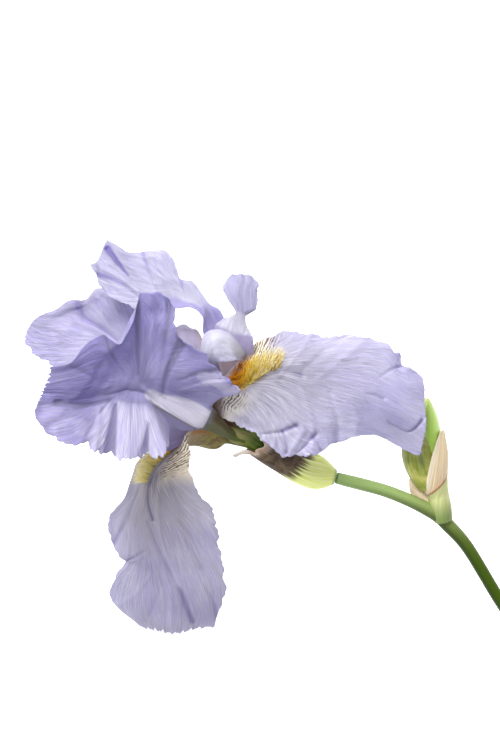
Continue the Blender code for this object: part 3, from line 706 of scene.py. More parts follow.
def petal_relief(tree, shader, veins, streaks, depth=0.28):
    relief = reckon(tree, "ADD", reckon(tree, "MULTIPLY", streaks, 0.6), reckon(tree, "MULTIPLY", veins, -0.4))
    shader.inputs["Specular IOR Level"].default_value = 0.3
    raise_bump(tree, shader, relief, depth)


def haft_stripes(tree, rank, along, across, space, end):
    """Brown lines that leave the rib, thin and broken, as far as the given end."""
    off_rib = reckon(tree, "ABSOLUTE", across)
    spot = place_of(tree, reckon(tree, "MULTIPLY", along, 40.0), reckon(tree, "MULTIPLY", across, 4.0), 3.0)
    wobble = reckon(tree, "MULTIPLY", mottle(tree, spot, 1.0), 14.0)
    wave = reckon(tree, "SINE", reckon(tree, "ADD", reckon(tree, "MULTIPLY", rank, 460.0), wobble))
    broken = reckon(tree, "MULTIPLY", reckon(tree, "SUBTRACT", mottle(tree, space, 900.0), 0.5), 3.0)
    thin = fade(tree, across, -0.1, 0.2, 0.2, 0.0)
    stripe = fade(tree, reckon(tree, "SUBTRACT", reckon(tree, "ADD", wave, broken), thin), 0.0, 0.5)
    reach = reckon(tree, "ADD", rank, reckon(tree, "MULTIPLY", mottle(tree, space, 500.0), 0.08))
    stripe = reckon(tree, "MULTIPLY", stripe, fade(tree, reckon(tree, "SUBTRACT", reach, end), 0.06, 0.0))
    return reckon(tree, "MULTIPLY", stripe, fade(tree, off_rib, 0.15, 0.3, 0.0, 0.9))


def fall_skin(name, foot_end, haft_end, stripes, beard_side, blade, pale_left, throat_colour, foot_colour):
    """Lavender blade, cream haft with brown stripes, a grey-white middle, a yellow flush by the beard that is partly
    painted shade, and a throat tint that is painted shade on the right fall.
    """
    finish, tree, shader = new_finish(name, 0.6)
    along, across, space = piece_places(tree)
    off_rib = reckon(tree, "ABSOLUTE", across)
    veins, streaks, turn, distance = fan_veins(tree, haft_end - 0.15, 2.6, 0.85, 30.0)
    colour = blade_colours(tree, space, veins, streaks, (0.3, 0.12, 0.32), blade)
    white = fade(tree, distance, 1.7, 0.5, 0.0, 0.8)
    darker = reckon(tree, "MULTIPLY", veins, fade(tree, distance, 1.1, 0.5, 0.5, 0.9))
    grey = tint(tree, darker, blade[2], (0.22, 0.20, 0.27, 1))
    colour = tint(tree, white, colour, tint(tree, 0.6, grey, blade[1], "MULTIPLY"))
    colour = tint(tree, fade(tree, across, -0.2, -0.8, 0.0, pale_left), colour, PALE)
    # Painted shade in the creases of the folds.
    colour = paint_crease_shade(tree, colour, 0.75, (0.25, 0.21, 0.42, 1))
    left_end, right_end, lean = stripes
    end = fade(tree, across, -0.15, 0.15, left_end, right_end)
    end = reckon(tree, "SUBTRACT", end, fade(tree, across, -0.4, -1.0, 0.0, 0.05))
    rank = reckon(tree, "ADD", along, reckon(tree, "MULTIPLY", across, lean))
    cream = fade(tree, reckon(tree, "SUBTRACT", along, end), 0.04, -0.04)
    cream = reckon(tree, "MULTIPLY", cream, fade(tree, off_rib, 0.1, 0.4))
    ground = tint(tree, fade(tree, across, -0.2, 0.2), (0.84, 0.81, 0.76, 1), (0.95, 0.87, 0.70, 1))
    colour = tint(tree, cream, colour, ground)
    stripe = haft_stripes(tree, rank, along, across, space, end)
    colour = tint(tree, stripe, colour, (0.13, 0.07, 0.045, 1))
    # The throat colour: on the right fall pinkish grey, painted shade where the haft lies under the style arm.
    throat = fade(tree, along, haft_end - 0.15, haft_end - 0.18)
    colour = tint(tree, reckon(tree, "MULTIPLY", throat, 0.85), colour, throat_colour)
    # A yellow flush beside the beard: partly the fall's own colour, partly painted shade below the hairs.
    beside = reckon(tree, "ABSOLUTE", reckon(tree, "SUBTRACT", across, beard_side))
    flush_and_beard_shade = reckon(tree, "MULTIPLY", fade(tree, beside, 0.28, 0.1), fade(tree, along, haft_end, haft_end - 0.11))
    flush_and_beard_shade = reckon(tree, "MULTIPLY", flush_and_beard_shade, fade(tree, along, haft_end - 0.18, haft_end - 0.16))
    yellow = tint(tree, fade(tree, along, haft_end - 0.14, haft_end - 0.07), (0.40, 0.20, 0.01, 1), (0.46, 0.38, 0.06, 1))
    colour = tint(tree, flush_and_beard_shade, colour, yellow)
    foot = reckon(tree, "SUBTRACT", along, fade(tree, across, 0.0, -0.5, 0.0, 0.09))
    blotch = fade(tree, mottle(tree, space, 420.0), 0.46, 0.62, 0.0, 0.6)
    foot_colour = tint(tree, blotch, foot_colour, (0.17, 0.08, 0.03, 1))
    colour = tint(tree, fade(tree, foot, foot_end * 1.5, foot_end), colour, foot_colour)
    colour = tint(tree, fade(tree, along, 0.08, 0.04), colour, FOOT_GREEN)
    orange = reckon(tree, "MULTIPLY", fade(tree, across, 0.6, 0.85), fade(tree, along, 0.23, 0.18))
    orange = reckon(tree, "MULTIPLY", orange, fade(tree, along, foot_end - 0.03, foot_end))
    colour = tint(tree, reckon(tree, "MULTIPLY", orange, 0.8), colour, (0.42, 0.16, 0.03, 1))
    wire(tree, colour, shader.inputs["Base Color"])
    petal_relief(tree, shader, veins, streaks, 0.22)
    let_light_through(finish, colour, 0.35)
    return finish


FALLS = {
    "right": (FALL_RIGHT, (190, 120), ((0.5, 3.4, 0.4),), 0.5, RIGHT_FOLDS, 0.12),
    "lower": (FALL_LOWER, (190, 120), ((0.4, 3.6, 0.1),), 0.45, LOWER_FOLDS, 0.24),
    "under": (FALL_UNDER, (100, 70), ((1.0, 1.5, 0.3),), 0.4, [], 0.12),
}
FALL_FINISHES = {
    "right": fall_skin("fall_right_skin", 0.13, 0.42, (0.36, 0.355, -0.05), 0.1,
                       (LAVENDER, PALE, (0.72, 0.71, 0.74, 1)), 0.0, THROAT_SHADE_PINK, FOOT_BROWN),
    # Painted shade: the lower fall's lavender and pale blade colours are a darker, greyer copy of the right fall's.
    "lower": fall_skin("fall_lower_skin", 0.13, 0.38, (0.24, 0.41, 0.05), -0.2,
                       ((0.48, 0.455, 0.60, 1), (0.62, 0.605, 0.69, 1), (0.82, 0.80, 0.70, 1)), 0.5, THROAT_OLIVE, FOOT_OLIVE),
}
FALL_FINISHES["under"] = FALL_FINISHES["right"]
for side, (rows, cells, waves, crimps, folds, tip_share) in FALLS.items():
    fall = petal(f"fall_{side}_petal", rows, cells, waves, crimps, folds, tip_share)
    hand_over(fall, FALL_FINISHES[side], f"fall_{side}")

# Standards
# Three petals that stand round the heart of the bloom and arch over it, thin and wavy. Their narrow
# white feet have a green rib, and fine veins fan from there over the lavender blade.

STANDARD_FRONT = claw(120) + [
    [(-17, 3, 14), (-16, 4.5, 14), (-14.5, 6, 15), (-13.5, 8.5, 16), (-12.5, 10.5, 16)],
    [(-23.5, 3, 20), (-20, 3.5, 16), (-19, 4.5, 16), (-16, 10, 18), (-14, 13, 19)],
    [(-28, 3.5, 23), (-26.5, 6.5, 17), (-25, 8.5, 17), (-20, 14, 18), (-10, 16, 26)],
    [(-30.5, 2.5, 28), (-32, 9.5, 18), (-31, 12.5, 17.5), (-24.5, 17.5, 19.5), (-3, 18, 33)],
    [(-30.5, -2.5, 32), (-36, 11.5, 18), (-35.5, 16, 18), (-28.5, 19.5, 21.5), (-4.5, 21.5, 35)],
    [(-31.5, -6, 35), (-38.5, 13.5, 18), (-38.5, 18.5, 19), (-30.5, 24, 28), (-9, 25, 37)],
    [(-35.5, -9, 36), (-41.5, 14.5, 18), (-41, 20, 19.5), (-32.5, 29, 32), (-13.5, 31, 39.5)],
    [(-40, -7, 37), (-45, 15, 18.5), (-43.5, 21, 20), (-34, 34.5, 34), (-18.5, 34.5, 41.5)],
    [(-44, -9.5, 38), (-48, 16, 19), (-46, 21.5, 20), (-35, 38.5, 36), (-25.5, 39.5, 44)],
    [(-48, -9, 39), (-50.5, 15.5, 19), (-48, 21.5, 20.5), (-37, 42, 37), (-27.5, 44, 45)],
    [(-52.5, -7, 39), (-53.5, 14.5, 19.5), (-50.5, 21.5, 21), (-39, 44.5, 37), (-27.5, 51, 46)],
    [(-57, -6, 39), (-56, 14, 20), (-53, 21.5, 21), (-42, 44, 36), (-33, 56, 46.5)],
    [(-60.5, -4.5, 38), (-59, 13.5, 20.5), (-55.5, 21, 21.5), (-45.5, 41.5, 35), (-40, 57.5, 46.5)],
    [(-64, -3, 38), (-62, 13, 21), (-57.5, 20.5, 22), (-49, 37.5, 34), (-42.5, 53, 45)],
    [(-69, -3, 36), (-65, 13, 22), (-60, 19.5, 23), (-52, 34, 33), (-44.5, 45, 44)],
    [(-74, -1, 34), (-68.5, 13, 23), (-62.5, 19, 24), (-55, 32, 33), (-49, 37, 42)],
    [(-77, 0.5, 32), (-71.5, 13.5, 24), (-65.5, 18, 25), (-59, 30, 33), (-56.5, 40.5, 40)],
    [(-80, 4, 30), (-75, 14, 24), (-69.5, 17.5, 25), (-63.5, 27.5, 32), (-64, 35.5, 37)],
    [(-82.5, 6.5, 28), (-78.5, 14, 24.5), (-74, 17.5, 25), (-69.5, 25, 30), (-69, 30, 34)],
    [(-83.5, 11, 26), (-82.5, 14, 25), (-81, 18, 25), (-79, 22.5, 27), (-77, 28, 30)],
]
STANDARD_LEFT = claw(240) + [
    [(-18, 10, -15), (-18.5, 8.5, -16), (-19.5, 7, -16.5), (-20.5, 5, -16), (-21.5, 3, -15)],
    [(-23.5, 27, -17), (-26.5, 22.5, -20), (-30, 17, -22), (-33.5, 10.5, -21), (-36.5, 3, -20)],
    [(-32.5, 45, -24), (-37, 38.5, -25), (-41.5, 30, -26), (-47, 20.5, -26), (-53, 9.5, -25)],
    [(-42, 55.5, -31), (-47, 48, -28), (-52, 38, -30), (-58.5, 28, -27), (-66.5, 18.5, -26)],
    [(-50, 61, -37), (-54.5, 52.5, -32), (-59, 43, -34), (-66.5, 34, -30), (-75.5, 25, -30)],
    [(-57, 61.5, -40), (-60, 55, -36), (-64.5, 46.5, -37), (-72.5, 37, -33), (-82.5, 29.5, -33)],
    [(-62.5, 61, -41), (-65, 56, -37.5), (-68.5, 49, -39.5), (-77.5, 40.5, -35), (-88, 32.5, -36)],
    [(-66.5, 56, -41.5), (-69, 53.5, -40.5), (-72, 51, -42.5), (-82, 43, -38), (-92, 37, -39)],
    [(-74, 55.5, -43), (-77, 52.5, -41.5), (-81, 49.5, -41), (-87, 45, -40), (-92.5, 41, -41)],
    [(-79.5, 52.5, -43.5), (-83, 51, -42.5), (-86.5, 49, -42), (-89.5, 47, -42), (-92, 44, -42.5)],
]
STANDARD_TOP = claw(0) + [
    [(-11, 25, 3), (-9, 25, 1), (-7, 25, -2), (-5, 26.5, -5), (-3, 27.5, -7)],
    [(-17.5, 40.5, 4), (-16, 41, 2), (-14, 42, -1), (-11.5, 43.5, -5), (-9, 46, -9)],
    [(-18, 47.5, 5), (-17.5, 49, 4), (-16.5, 50.5, 1), (-14.5, 51, -3), (-12, 51.5, -8)],
    [(-21.5, 51, 5), (-20.5, 52.5, 4), (-19.5, 54, 0), (-18, 55.5, -5), (-16, 53.5, -10)],
    [(-25.5, 51.5, 4), (-25, 53.5, 2), (-24, 56, -2), (-21.5, 58, -6), (-18, 57.5, -12)],
    [(-29.5, 51, 2), (-29.5, 55, -1), (-28.5, 59, -5), (-26, 61.5, -8), (-22, 63, -14)],
    [(-35, 50.5, -1), (-35, 55.5, -4), (-33.5, 61, -7), (-30.5, 64.5, -10), (-27, 63.5, -17)],
    [(-40, 50.5, -4), (-40, 56, -7), (-38.5, 62.5, -10), (-34, 68, -13), (-29, 70, -20)],
    [(-46, 51.5, -7), (-45, 58, -10), (-43, 65, -13), (-38.5, 71, -15), (-32.5, 75.5, -22)],
    [(-51, 54, -10), (-50, 60, -13), (-47.5, 67, -15), (-43.5, 72, -17), (-39.5, 75.5, -22)],
    [(-56, 56.5, -13), (-54.5, 62.5, -15), (-52, 69, -16), (-48, 72.5, -18), (-45, 74.5, -21)],
    [(-60.5, 61, -16), (-59, 65.5, -16), (-55.5, 70.5, -16), (-53, 74, -17), (-49, 74.5, -20)],
    [(-61.5, 65, -17), (-60.5, 68, -17), (-58, 72.5, -17), (-56.5, 76, -17), (-53, 77.5, -19)],
    [(-64.5, 69.5, -18), (-61.5, 71, -17.5), (-60, 74, -17), (-59, 77, -17.5), (-57.5, 80, -18)],
]
FRONT_FOLDS = [
    ([(-38.5, 13.5), (-52, 15), (-59.5, 13.5), (-66.5, 13), (-75, 14)], 1.6, -1.6),
    ([(-58, 12), (-58.5, 2.5), (-59, -6)], 1.8, 1.8),
    ([(-52, 13), (-53, 2.5), (-54, -8)], 2.7, -3.2),
    ([(-47.5, 13), (-47, 2.5), (-46.5, -8.5)], 2.6, 2.2),
    ([(-43.5, 11), (-42.5, 2.5), (-42.5, -8.5)], 1.4, -0.9),
    ([(-39, 6), (-39.5, -0.5), (-40.5, -7.5)], 1.8, -2.4),
    ([(-35.5, 12), (-35, 3.5), (-35, -6.5)], 2, 1.4),
    ([(-33.5, 16.5), (-32.5, 23), (-29.5, 30), (-25, 38.5)], 2.2, -2),
    ([(-50.5, 23), (-56, 31.5), (-59, 37.5)], 1.8, 1.2),
    ([(-48, 24.5), (-53, 33.5), (-56, 40.5)], 1.4, -1.4),
    ([(-38, 23.5), (-37.5, 40.5), (-37, 56)], 2.4, 1.4),
    ([(-43, 25), (-43, 38.5), (-42.5, 52.5)], 1.8, -1.6),
    ([(-34.5, 25), (-32, 38.5), (-30, 53)], 1.6, -1.4),
    ([(-27, 23), (-18.5, 26), (-11, 27)], 1.6, -1.8),
    ([(-27, 18.5), (-17.5, 21), (-7.5, 22)], 1.5, 2.6),
    ([(-50, 16), (-63.5, 7.5), (-72.5, -1.5)], 2, 1),
    ([(-54, 16), (-68.5, 10.5), (-79.5, 4)], 1.8, -1),
    ([(-54.5, 14.5), (-61.5, 4), (-64, -3)], 1.6, -1.2),
    ([(-56, 21.5), (-64, 26), (-69.5, 29)], 1.8, -1),
]
LEFT_FOLDS = [
    ([(-51.5, 36.5), (-57, 41.5), (-63, 45.5), (-68, 48.5), (-70.5, 53.5)], 1.6, -2),
    ([(-42.5, 42.5), (-48.5, 52.5), (-53.5, 59)], 2.2, 1),
    ([(-53.5, 39.5), (-59, 49.5), (-62.5, 55)], 1.8, -1),
    ([(-58.5, 36.5), (-72, 42.5), (-84, 46.5)], 2.2, 0.6),
    ([(-60.5, 32.5), (-73.5, 36.5), (-86.5, 36.5)], 2, -0.6),
]
TOP_FOLDS = [
    ([(-48.5, 65), (-52.5, 70), (-57, 76)], 1.4, -2.8),
    ([(-43.5, 56), (-52.5, 62.5), (-60.5, 65.5)], 1.5, -1.4),
    ([(-44.5, 58.5), (-53.5, 65), (-62, 70)], 1.3, 1.2),
    ([(-35.5, 55), (-39.5, 65), (-43, 74.5)], 1.6, -1),
    ([(-30.5, 56), (-33, 64), (-36.5, 74.5)], 1.8, 1),
    ([(-25, 55), (-26, 59), (-27.5, 63.5)], 1.3, -1),
]


def standard_skin(name, start, vein_count, shares, colours, lit_side_from):
    """Lavender blade, white foot patch with a greenish rib on its lower side, and a green foot."""
    finish, tree, shader = new_finish(name, 0.6)
    along, across, space = piece_places(tree)
    veins, streaks, turn, distance = fan_veins(tree, start, 2.4, 1.0, vein_count)
    # Painted light: on the front standard the lower side of the blade is painted whitish, as if lit, turning
    # patchily darker lavender towards the tip; the other standards start it past their edge, so it doesn't show.
    patchy = reckon(tree, "MULTIPLY", fade(tree, along, 0.58, 0.75), fade(tree, mottle(tree, space, 75.0), 0.58, 0.46, 0.7, 1.0))
    lit_skirt = tint(tree, patchy, (0.90, 0.89, 0.91, 1), (0.35, 0.335, 0.48, 1))
    lit_skirt_share = fade(tree, across, lit_side_from, lit_side_from - 0.2, 0.0, 0.7)
    blade = [tint(tree, lit_skirt_share, colour, lit_skirt) for colour in colours[:2]]
    colour = blade_colours(tree, space, veins, streaks, shares[:3], blade)
    # Painted shade in the creases of the folds.
    colour = paint_crease_shade(tree, colour, shares[3], colours[2])
    upper_side = reckon(tree, "ADD", across, reckon(tree, "MULTIPLY", along, 3.0))
    foot = reckon(tree, "MULTIPLY", fade(tree, upper_side, 1.14, 1.0), fade(tree, across, -0.5, -0.4))
    foot = reckon(tree, "MULTIPLY", foot, fade(tree, along, start - 0.01, start - 0.04))
    white = tint(tree, fade(tree, streaks, 0.4, 0.6), (0.82, 0.80, 0.88, 1), (0.66, 0.64, 0.75, 1))
    colour = tint(tree, foot, colour, white)
    # Painted shade: the foot is dark violet below its rib line.
    shade_under_rib = reckon(tree, "MULTIPLY", fade(tree, across, -0.44, -0.56), fade(tree, along, start - 0.02, start - 0.14))
    colour = tint(tree, shade_under_rib, colour, (0.24, 0.22, 0.37, 1))
    off_rib = reckon(tree, "ABSOLUTE", reckon(tree, "ADD", across, 0.44))
    rib = reckon(tree, "MULTIPLY", fade(tree, along, start, start - 0.12, 0.0, 0.8), fade(tree, off_rib, 0.1, 0.03))
    colour = tint(tree, rib, colour, (0.13, 0.13, 0.14, 1))
    window = tint(tree, fade(tree, across, -0.1, 0.5), (0.30, 0.29, 0.17, 1), (0.14, 0.07, 0.045, 1))
    window = tint(tree, fade(tree, along, 0.085, 0.11), window, (0.32, 0.29, 0.38, 1))
    window = tint(tree, fade(tree, streaks, 0.42, 0.58, 0.0, 0.5), window, FOOT_GREEN)
    colour = tint(tree, fade(tree, along, 0.125, 0.115), colour, window)
    colour = tint(tree, fade(tree, along, 0.07, 0.03), colour, FOOT_GREEN)
    wire(tree, colour, shader.inputs["Base Color"])
    petal_relief(tree, shader, veins, streaks)
    return finish, colour


# Each standard's blade colour, paler colour and crease colour. The front standard's are a darker copy, as painted
# shade, and the top standard's a paler copy, as painted light; the third colour of each is its painted crease shade.
FRONT_SHADED_COLOURS = ((0.38, 0.37, 0.62, 1), (0.47, 0.46, 0.67, 1), (0.28, 0.26, 0.43, 1))
LEFT_COLOURS = ((0.58, 0.57, 0.72, 1), (0.72, 0.71, 0.82, 1), DEEP)
TOP_LIT_COLOURS = ((0.70, 0.69, 0.84, 1), (0.86, 0.87, 0.92, 1), DEEP)
front_finish, colour = standard_skin("standard_front_skin", 0.38, 34.0, (0.0, 0.36, 0.45, 0.9), FRONT_SHADED_COLOURS, -0.45)
tree = front_finish.node_tree
along, across, space = piece_places(tree)
# Painted highlight: a pale patchy streak along the margin of the front standard's right lobe.
off_highlight = reckon(tree, "ABSOLUTE", reckon(tree, "SUBTRACT", along, 0.285))
lobe_highlight = reckon(tree, "MULTIPLY", fade(tree, off_highlight, 0.075, 0.03), fade(tree, across, 0.55, 0.9))
lobe_highlight = reckon(tree, "MULTIPLY", lobe_highlight, fade(tree, mottle(tree, space, 170.0), 0.42, 0.56, 0.0, 0.65))
colour = tint(tree, lobe_highlight, colour, (0.74, 0.72, 0.84, 1))
wire(tree, colour, tree.nodes["Principled BSDF"].inputs["Base Color"])
let_light_through(front_finish, colour, 0.35)
left_finish, colour = standard_skin("standard_left_skin", 0.34, 32.0, (0.3, 0.32, 0.4, 0.4), LEFT_COLOURS, -1.0)
let_light_through(left_finish, colour, 0.42)
top_finish, colour = standard_skin("standard_top_skin", 0.3, 28.0, (0.7, 0.2, 0.35, 0.7), TOP_LIT_COLOURS, -1.0)
tree = top_finish.node_tree
along, across, space = piece_places(tree)
# Painted shade: the top standard's lower margin, which rolls under, and its foot are tinted violet.
rolled_margin_shade = reckon(tree, "MULTIPLY", fade(tree, across, -0.25, -0.6), fade(tree, along, 0.65, 0.5))
rolled_margin_shade = reckon(tree, "MAXIMUM", rolled_margin_shade, fade(tree, along, 0.36, 0.26))
colour = tint(tree, reckon(tree, "MULTIPLY", rolled_margin_shade, 0.75), colour, (0.52, 0.48, 0.80, 1))
colour = tint(tree, fade(tree, along, 0.2, 0.16), colour, (0.44, 0.35, 0.39, 1))
wire(tree, colour, tree.nodes["Principled BSDF"].inputs["Base Color"])
let_light_through(top_finish, colour, 0.5)

STANDARDS = {
    "front": (STANDARD_FRONT, (220, 160), ((0.4, 4.2, 0.3),), 0.5, FRONT_FOLDS, front_finish),
    "left": (STANDARD_LEFT, (150, 120), ((0.6, 2.0, 0.2),), 0.5, LEFT_FOLDS, left_finish),
    "top": (STANDARD_TOP, (150, 110), ((0.5, 1.5, 0.1),), 0.5, TOP_FOLDS, top_finish),
}
STANDARD_TIP_SHARE = 0.15
for side, (rows, cells, waves, crimps, folds, finish) in STANDARDS.items():
    standard = petal(f"standard_{side}_petal", rows, cells, waves, crimps, folds, STANDARD_TIP_SHARE)
    hand_over(standard, finish, f"standard_{side}")

# Style arms
# Three narrow petal-like arms that arch from the heart over the foot of each fall. The right one,
# which shows, is nearly white on its dome and ends in a thin upright crest with a lavender flag.

ARM_WALL = 0.4
ARM_RING_HEIGHT = 0.6
ARM_RING_RADIUS = 1.9
ARM_HALF_ANGLE = 36.0


def arm_foot(angle):
    """The lowest row of a style arm that stands at this angle round the tube."""
    turns = (angle + ARM_HALF_ANGLE, angle, angle - ARM_HALF_ANGLE)
    reach = (ARM_RING_RADIUS, ARM_RING_RADIUS * 1.05, ARM_RING_RADIUS)
    return [[ring_point(turn, ARM_RING_HEIGHT, out) for turn, out in zip(turns, reach)]]


ARM_RIGHT = arm_foot(60) + [
    [(-8, 8, 8), (-8.5, 10.5, 5), (-6.5, 12, 3.5)],
    [(-14, 14, 13), (-11.5, 16.5, 10), (-8, 18.5, 6)],
    [(-18.5, 25, 19), (-14.5, 25, 19), (-10, 25, 15)],
    [(-18.5, 34.5, 28), (-15, 32, 30.5), (-11.5, 29, 28)],
    [(-17, 40.5, 30), (-13.5, 36.5, 34), (-10, 30, 32.5)],
    [(-12.5, 42.5, 31), (-10.5, 37.5, 35), (-7.5, 30, 33.5)],
    [(-7.5, 41, 30), (-6.5, 36, 33.5), (-5, 30.5, 32)],
    [(-4, 37.5, 28), (-4, 34, 29.5), (-3.5, 30.5, 28.5)],
    [(-1.5, 34, 24), (-2, 32, 25), (-2.5, 30.5, 24)],
    [(-1, 32.5, 20), (-1.5, 31, 20.5), (-2, 30, 19.5)],
]
CREST_RIGHT = [
    [(-9.5, 34.5, 24), (-3.5, 32, 22.5), (0.5, 29.5, 19)],
    [(-12, 39.5, 24), (-4.5, 36, 24.5), (2, 34, 20)],
    [(-13, 44, 22), (-6, 40.5, 24), (2, 39.5, 20)],
    [(-9.5, 47, 20), (-4.5, 46, 21.5), (0.5, 43, 18)],
    [(-5, 49, 18), (-3, 48.5, 19), (-0.5, 48, 17)],
    [(-7, 52.5, 17), (-2, 51, 19), (3.5, 51, 16)],
    [(-10, 58.5, 16), (-3, 58, 19), (4, 58, 15)],
    [(-8.5, 62.5, 15), (-2.5, 62, 18), (4, 60.5, 14)],
    [(-5.5, 64, 15), (-2, 65, 16), (1.5, 64, 14)],
]
ARM_LOWER = arm_foot(180) + [
    [(-11.5, 1.5, -3.5), (-11.5, 2.5, 0), (-10.5, 1, 3.5)],
    [(-19.5, 3.5, -6), (-21, 4, 1), (-20, 1.5, 3)],
    [(-29, 3.5, -6), (-30, 3, 4), (-27.5, -3.5, 13)],
    [(-37.5, 2, -4), (-37, 0.5, 7), (-31.5, -5, 14)],
    [(-43, -1.5, 0), (-41, -2.5, 8), (-35, -5, 13)],
]
ARM_UNDER = arm_foot(300) + [
    [(-6, 13, -4), (-9, 12, -6), (-9.5, 9.5, -7)],
    [(-9, 19.5, -6), (-13.5, 18.5, -9), (-16.5, 15, -13)],
    [(-14.5, 28.5, -8), (-20, 27.5, -12), (-25, 23, -17)],
    [(-17.5, 37, -8), (-24, 36, -10), (-30, 31.5, -16)],
    [(-20, 42, -12), (-25, 42.5, -13), (-31.5, 39, -18)],
    [(-23, 44, -18), (-26, 45, -20), (-31, 43, -22)],
]

def arm_skin(name, ridge, edge):
    """Pale on its ridge and darker to its edges; the crest is lavender, with painted shade in deep violet at its
    foot.
    """
    finish, tree, shader = new_finish(name, 0.5)
    along, across, space = piece_places(tree)
    veins, streaks, turn, distance = fan_veins(tree, 0.0, 1.5, 1.0, 22.0)
    crest_share = tree.nodes.new("ShaderNodeAttribute")
    crest_share.attribute_name = "crest"
    blade = tint(tree, fade(tree, reckon(tree, "ABSOLUTE", across), 0.4, 1.0), ridge, edge)
    crest_colour_and_shade = tint(tree, fade(tree, along, 0.5, 0.6), (0.78, 0.78, 0.87, 1), (0.56, 0.55, 0.75, 1))
    # Painted shade: the crest's foot is painted deep violet.
    crest_colour_and_shade = tint(tree, fade(tree, along, 0.3, 0.24), crest_colour_and_shade, (0.38, 0.33, 0.52, 1))
    colour = tint(tree, crest_share.outputs["Fac"], blade, crest_colour_and_shade)
    colour = tint(tree, fade(tree, streaks, 0.42, 0.62, 0.0, 0.35), colour, LAVENDER)
    colour = tint(tree, reckon(tree, "MULTIPLY", veins, 0.3), colour, DEEP)
    wire(tree, colour, shader.inputs["Base Color"])
    petal_relief(tree, shader, veins, streaks)
    let_light_through(finish, colour, 0.25)
    return finish


ARM_FINISHES = {
    "right": arm_skin("style_arm_right_skin", (0.90, 0.91, 0.97, 1), (0.74, 0.73, 0.86, 1)),
    "lower": arm_skin("style_arm_lower_skin", (0.46, 0.38, 0.62, 1), (0.26, 0.17, 0.36, 1)),
    "under": arm_skin("style_arm_under_skin", (0.62, 0.57, 0.68, 1), (0.54, 0.44, 0.42, 1)),
}


def style_arm(name, rows, cells, waves, crimps, is_crest):
    def shape(u, v):
        u, v = ragged(u, v, 0.14 * is_crest)
        height = ruffle(u, v, waves) + crimp(u, v, crimps)
        return row_surface(rows, u, v) + row_normals(rows, u, v) * height[:, None]

    piece = worked_grid(name, cells[0], cells[1], shape)
    thicken(piece, ARM_WALL)
    mark_points(piece, "crest", [float(is_crest)])
    return piece


arm = style_arm("style_arm_right_petal", ARM_RIGHT, (60, 44), ((0.2, 1.0, 0.2),), 0.15, False)
crest = style_arm("crest", CREST_RIGHT, (90, 60), ((0.5, 1.3, 0.2), (0.3, 4.0, 0.0)), 0.5, True)
bpy.ops.object.select_all(action="DESELECT")
crest.select_set(True)
arm.select_set(True)
bpy.context.view_layer.objects.active = arm
bpy.ops.object.join()
hand_over(arm, ARM_FINISHES["right"], "style_arm_right")
for side, rows in (("lower", ARM_LOWER), ("under", ARM_UNDER)):
    arm = style_arm(f"style_arm_{side}_petal", rows, (50, 30), ((0.4, 1.5, 0.1),), 0.2, False)
    hand_over(arm, ARM_FINISHES[side], f"style_arm_{side}")

# Stamens
# One under each style arm: a pale thread with a long cream anther, powdery with pollen.

STAMENS = {
    "right": (60, [(-4.2, 6, 4.7), (-9.8, 11.2, 9.3), (-13.6, 17.5, 14)]),
    "lower": (180, [(-6.4, -0.8, 0), (-13, -0.4, -1), (-21.5, 1, 1)]),
    "under": (300, [(-4.2, 6, -4.7), (-9.8, 11.2, -9.3), (-13.6, 17.5, -14)]),
}
THREAD_AND_ANTHER = [0.4, 0.38, 0.36, 0.34, 0.34, 0.7, 0.8, 0.8, 0.75, 0.55, 0.2]

stamen_skin, tree, shader = new_finish("stamen_skin", 0.8)
along, across, space = piece_places(tree)
powder = mottle(tree, space, 2500.0)
colour = tint(tree, fade(tree, along, 0.45, 0.5), (0.72, 0.68, 0.82, 1), (0.78, 0.70, 0.46, 1))
colour = tint(tree, fade(tree, powder, 0.45, 0.6, 0.0, 0.5), colour, (0.55, 0.44, 0.22, 1))
wire(tree, colour, shader.inputs["Base Color"])
raise_bump(tree, shader, powder, 0.1)

for side, (angle, route) in STAMENS.items():
    middle = smooth_line([ring_point(angle, 1.0, 3.25)] + route, np.linspace(0, 1, len(THREAD_AND_ANTHER)))
    stations = [(*spot, size) for spot, size in zip(middle, THREAD_AND_ANTHER)]
    stamen = stalk(f"stamen_{side}_thread", stations, 44, 14)
    hand_over(stamen, stamen_skin, f"stamen_{side}")

# Beards
# A dense strip of fleshy hairs along the rib of each fall, orange in the throat, yellow further out
# and white-tipped at its end. One hair is modelled and copied along the rib.

BEARDS = {                                   # from, to, sides at its foot, sides at its end, lean, hairs
    "right": (0.25, 0.425, (-0.28, 0.44), (0.08, 0.42), 0.7, 680),
    "lower": (0.25, 0.40, (-0.44, 0.0), (-0.34, -0.06), -0.5, 480),
    "under": (0.25, 0.45, (-0.12, 0.12), (-0.12, 0.12), 0.0, 260),
}
HAIR_LENGTH = 6.5
HAIR_RADIUS = 0.11


def beard_skin(name, throat, middle, tips):
    finish, tree, shader = new_finish(name, 0.55)
    shader.inputs["Specular IOR Level"].default_value = 0.2
    grown = tree.nodes.new("ShaderNodeAttribute")
    grown.attribute_name = "along_beard"
    colour = tint(tree, fade(tree, grown.outputs["Fac"], 0.0, 0.4), throat, middle)
    tip = tree.nodes.new("ShaderNodeAttribute")
    tip.attribute_name = "along_hair"
    pale_tip = fade(tree, tip.outputs["Fac"], 0.3, 1.0)
    pale_tip = reckon(tree, "MULTIPLY", pale_tip, fade(tree, grown.outputs["Fac"], 0.2, 0.8))
    wire(tree, tint(tree, pale_tip, colour, tips), shader.inputs["Base Color"])
    return finish


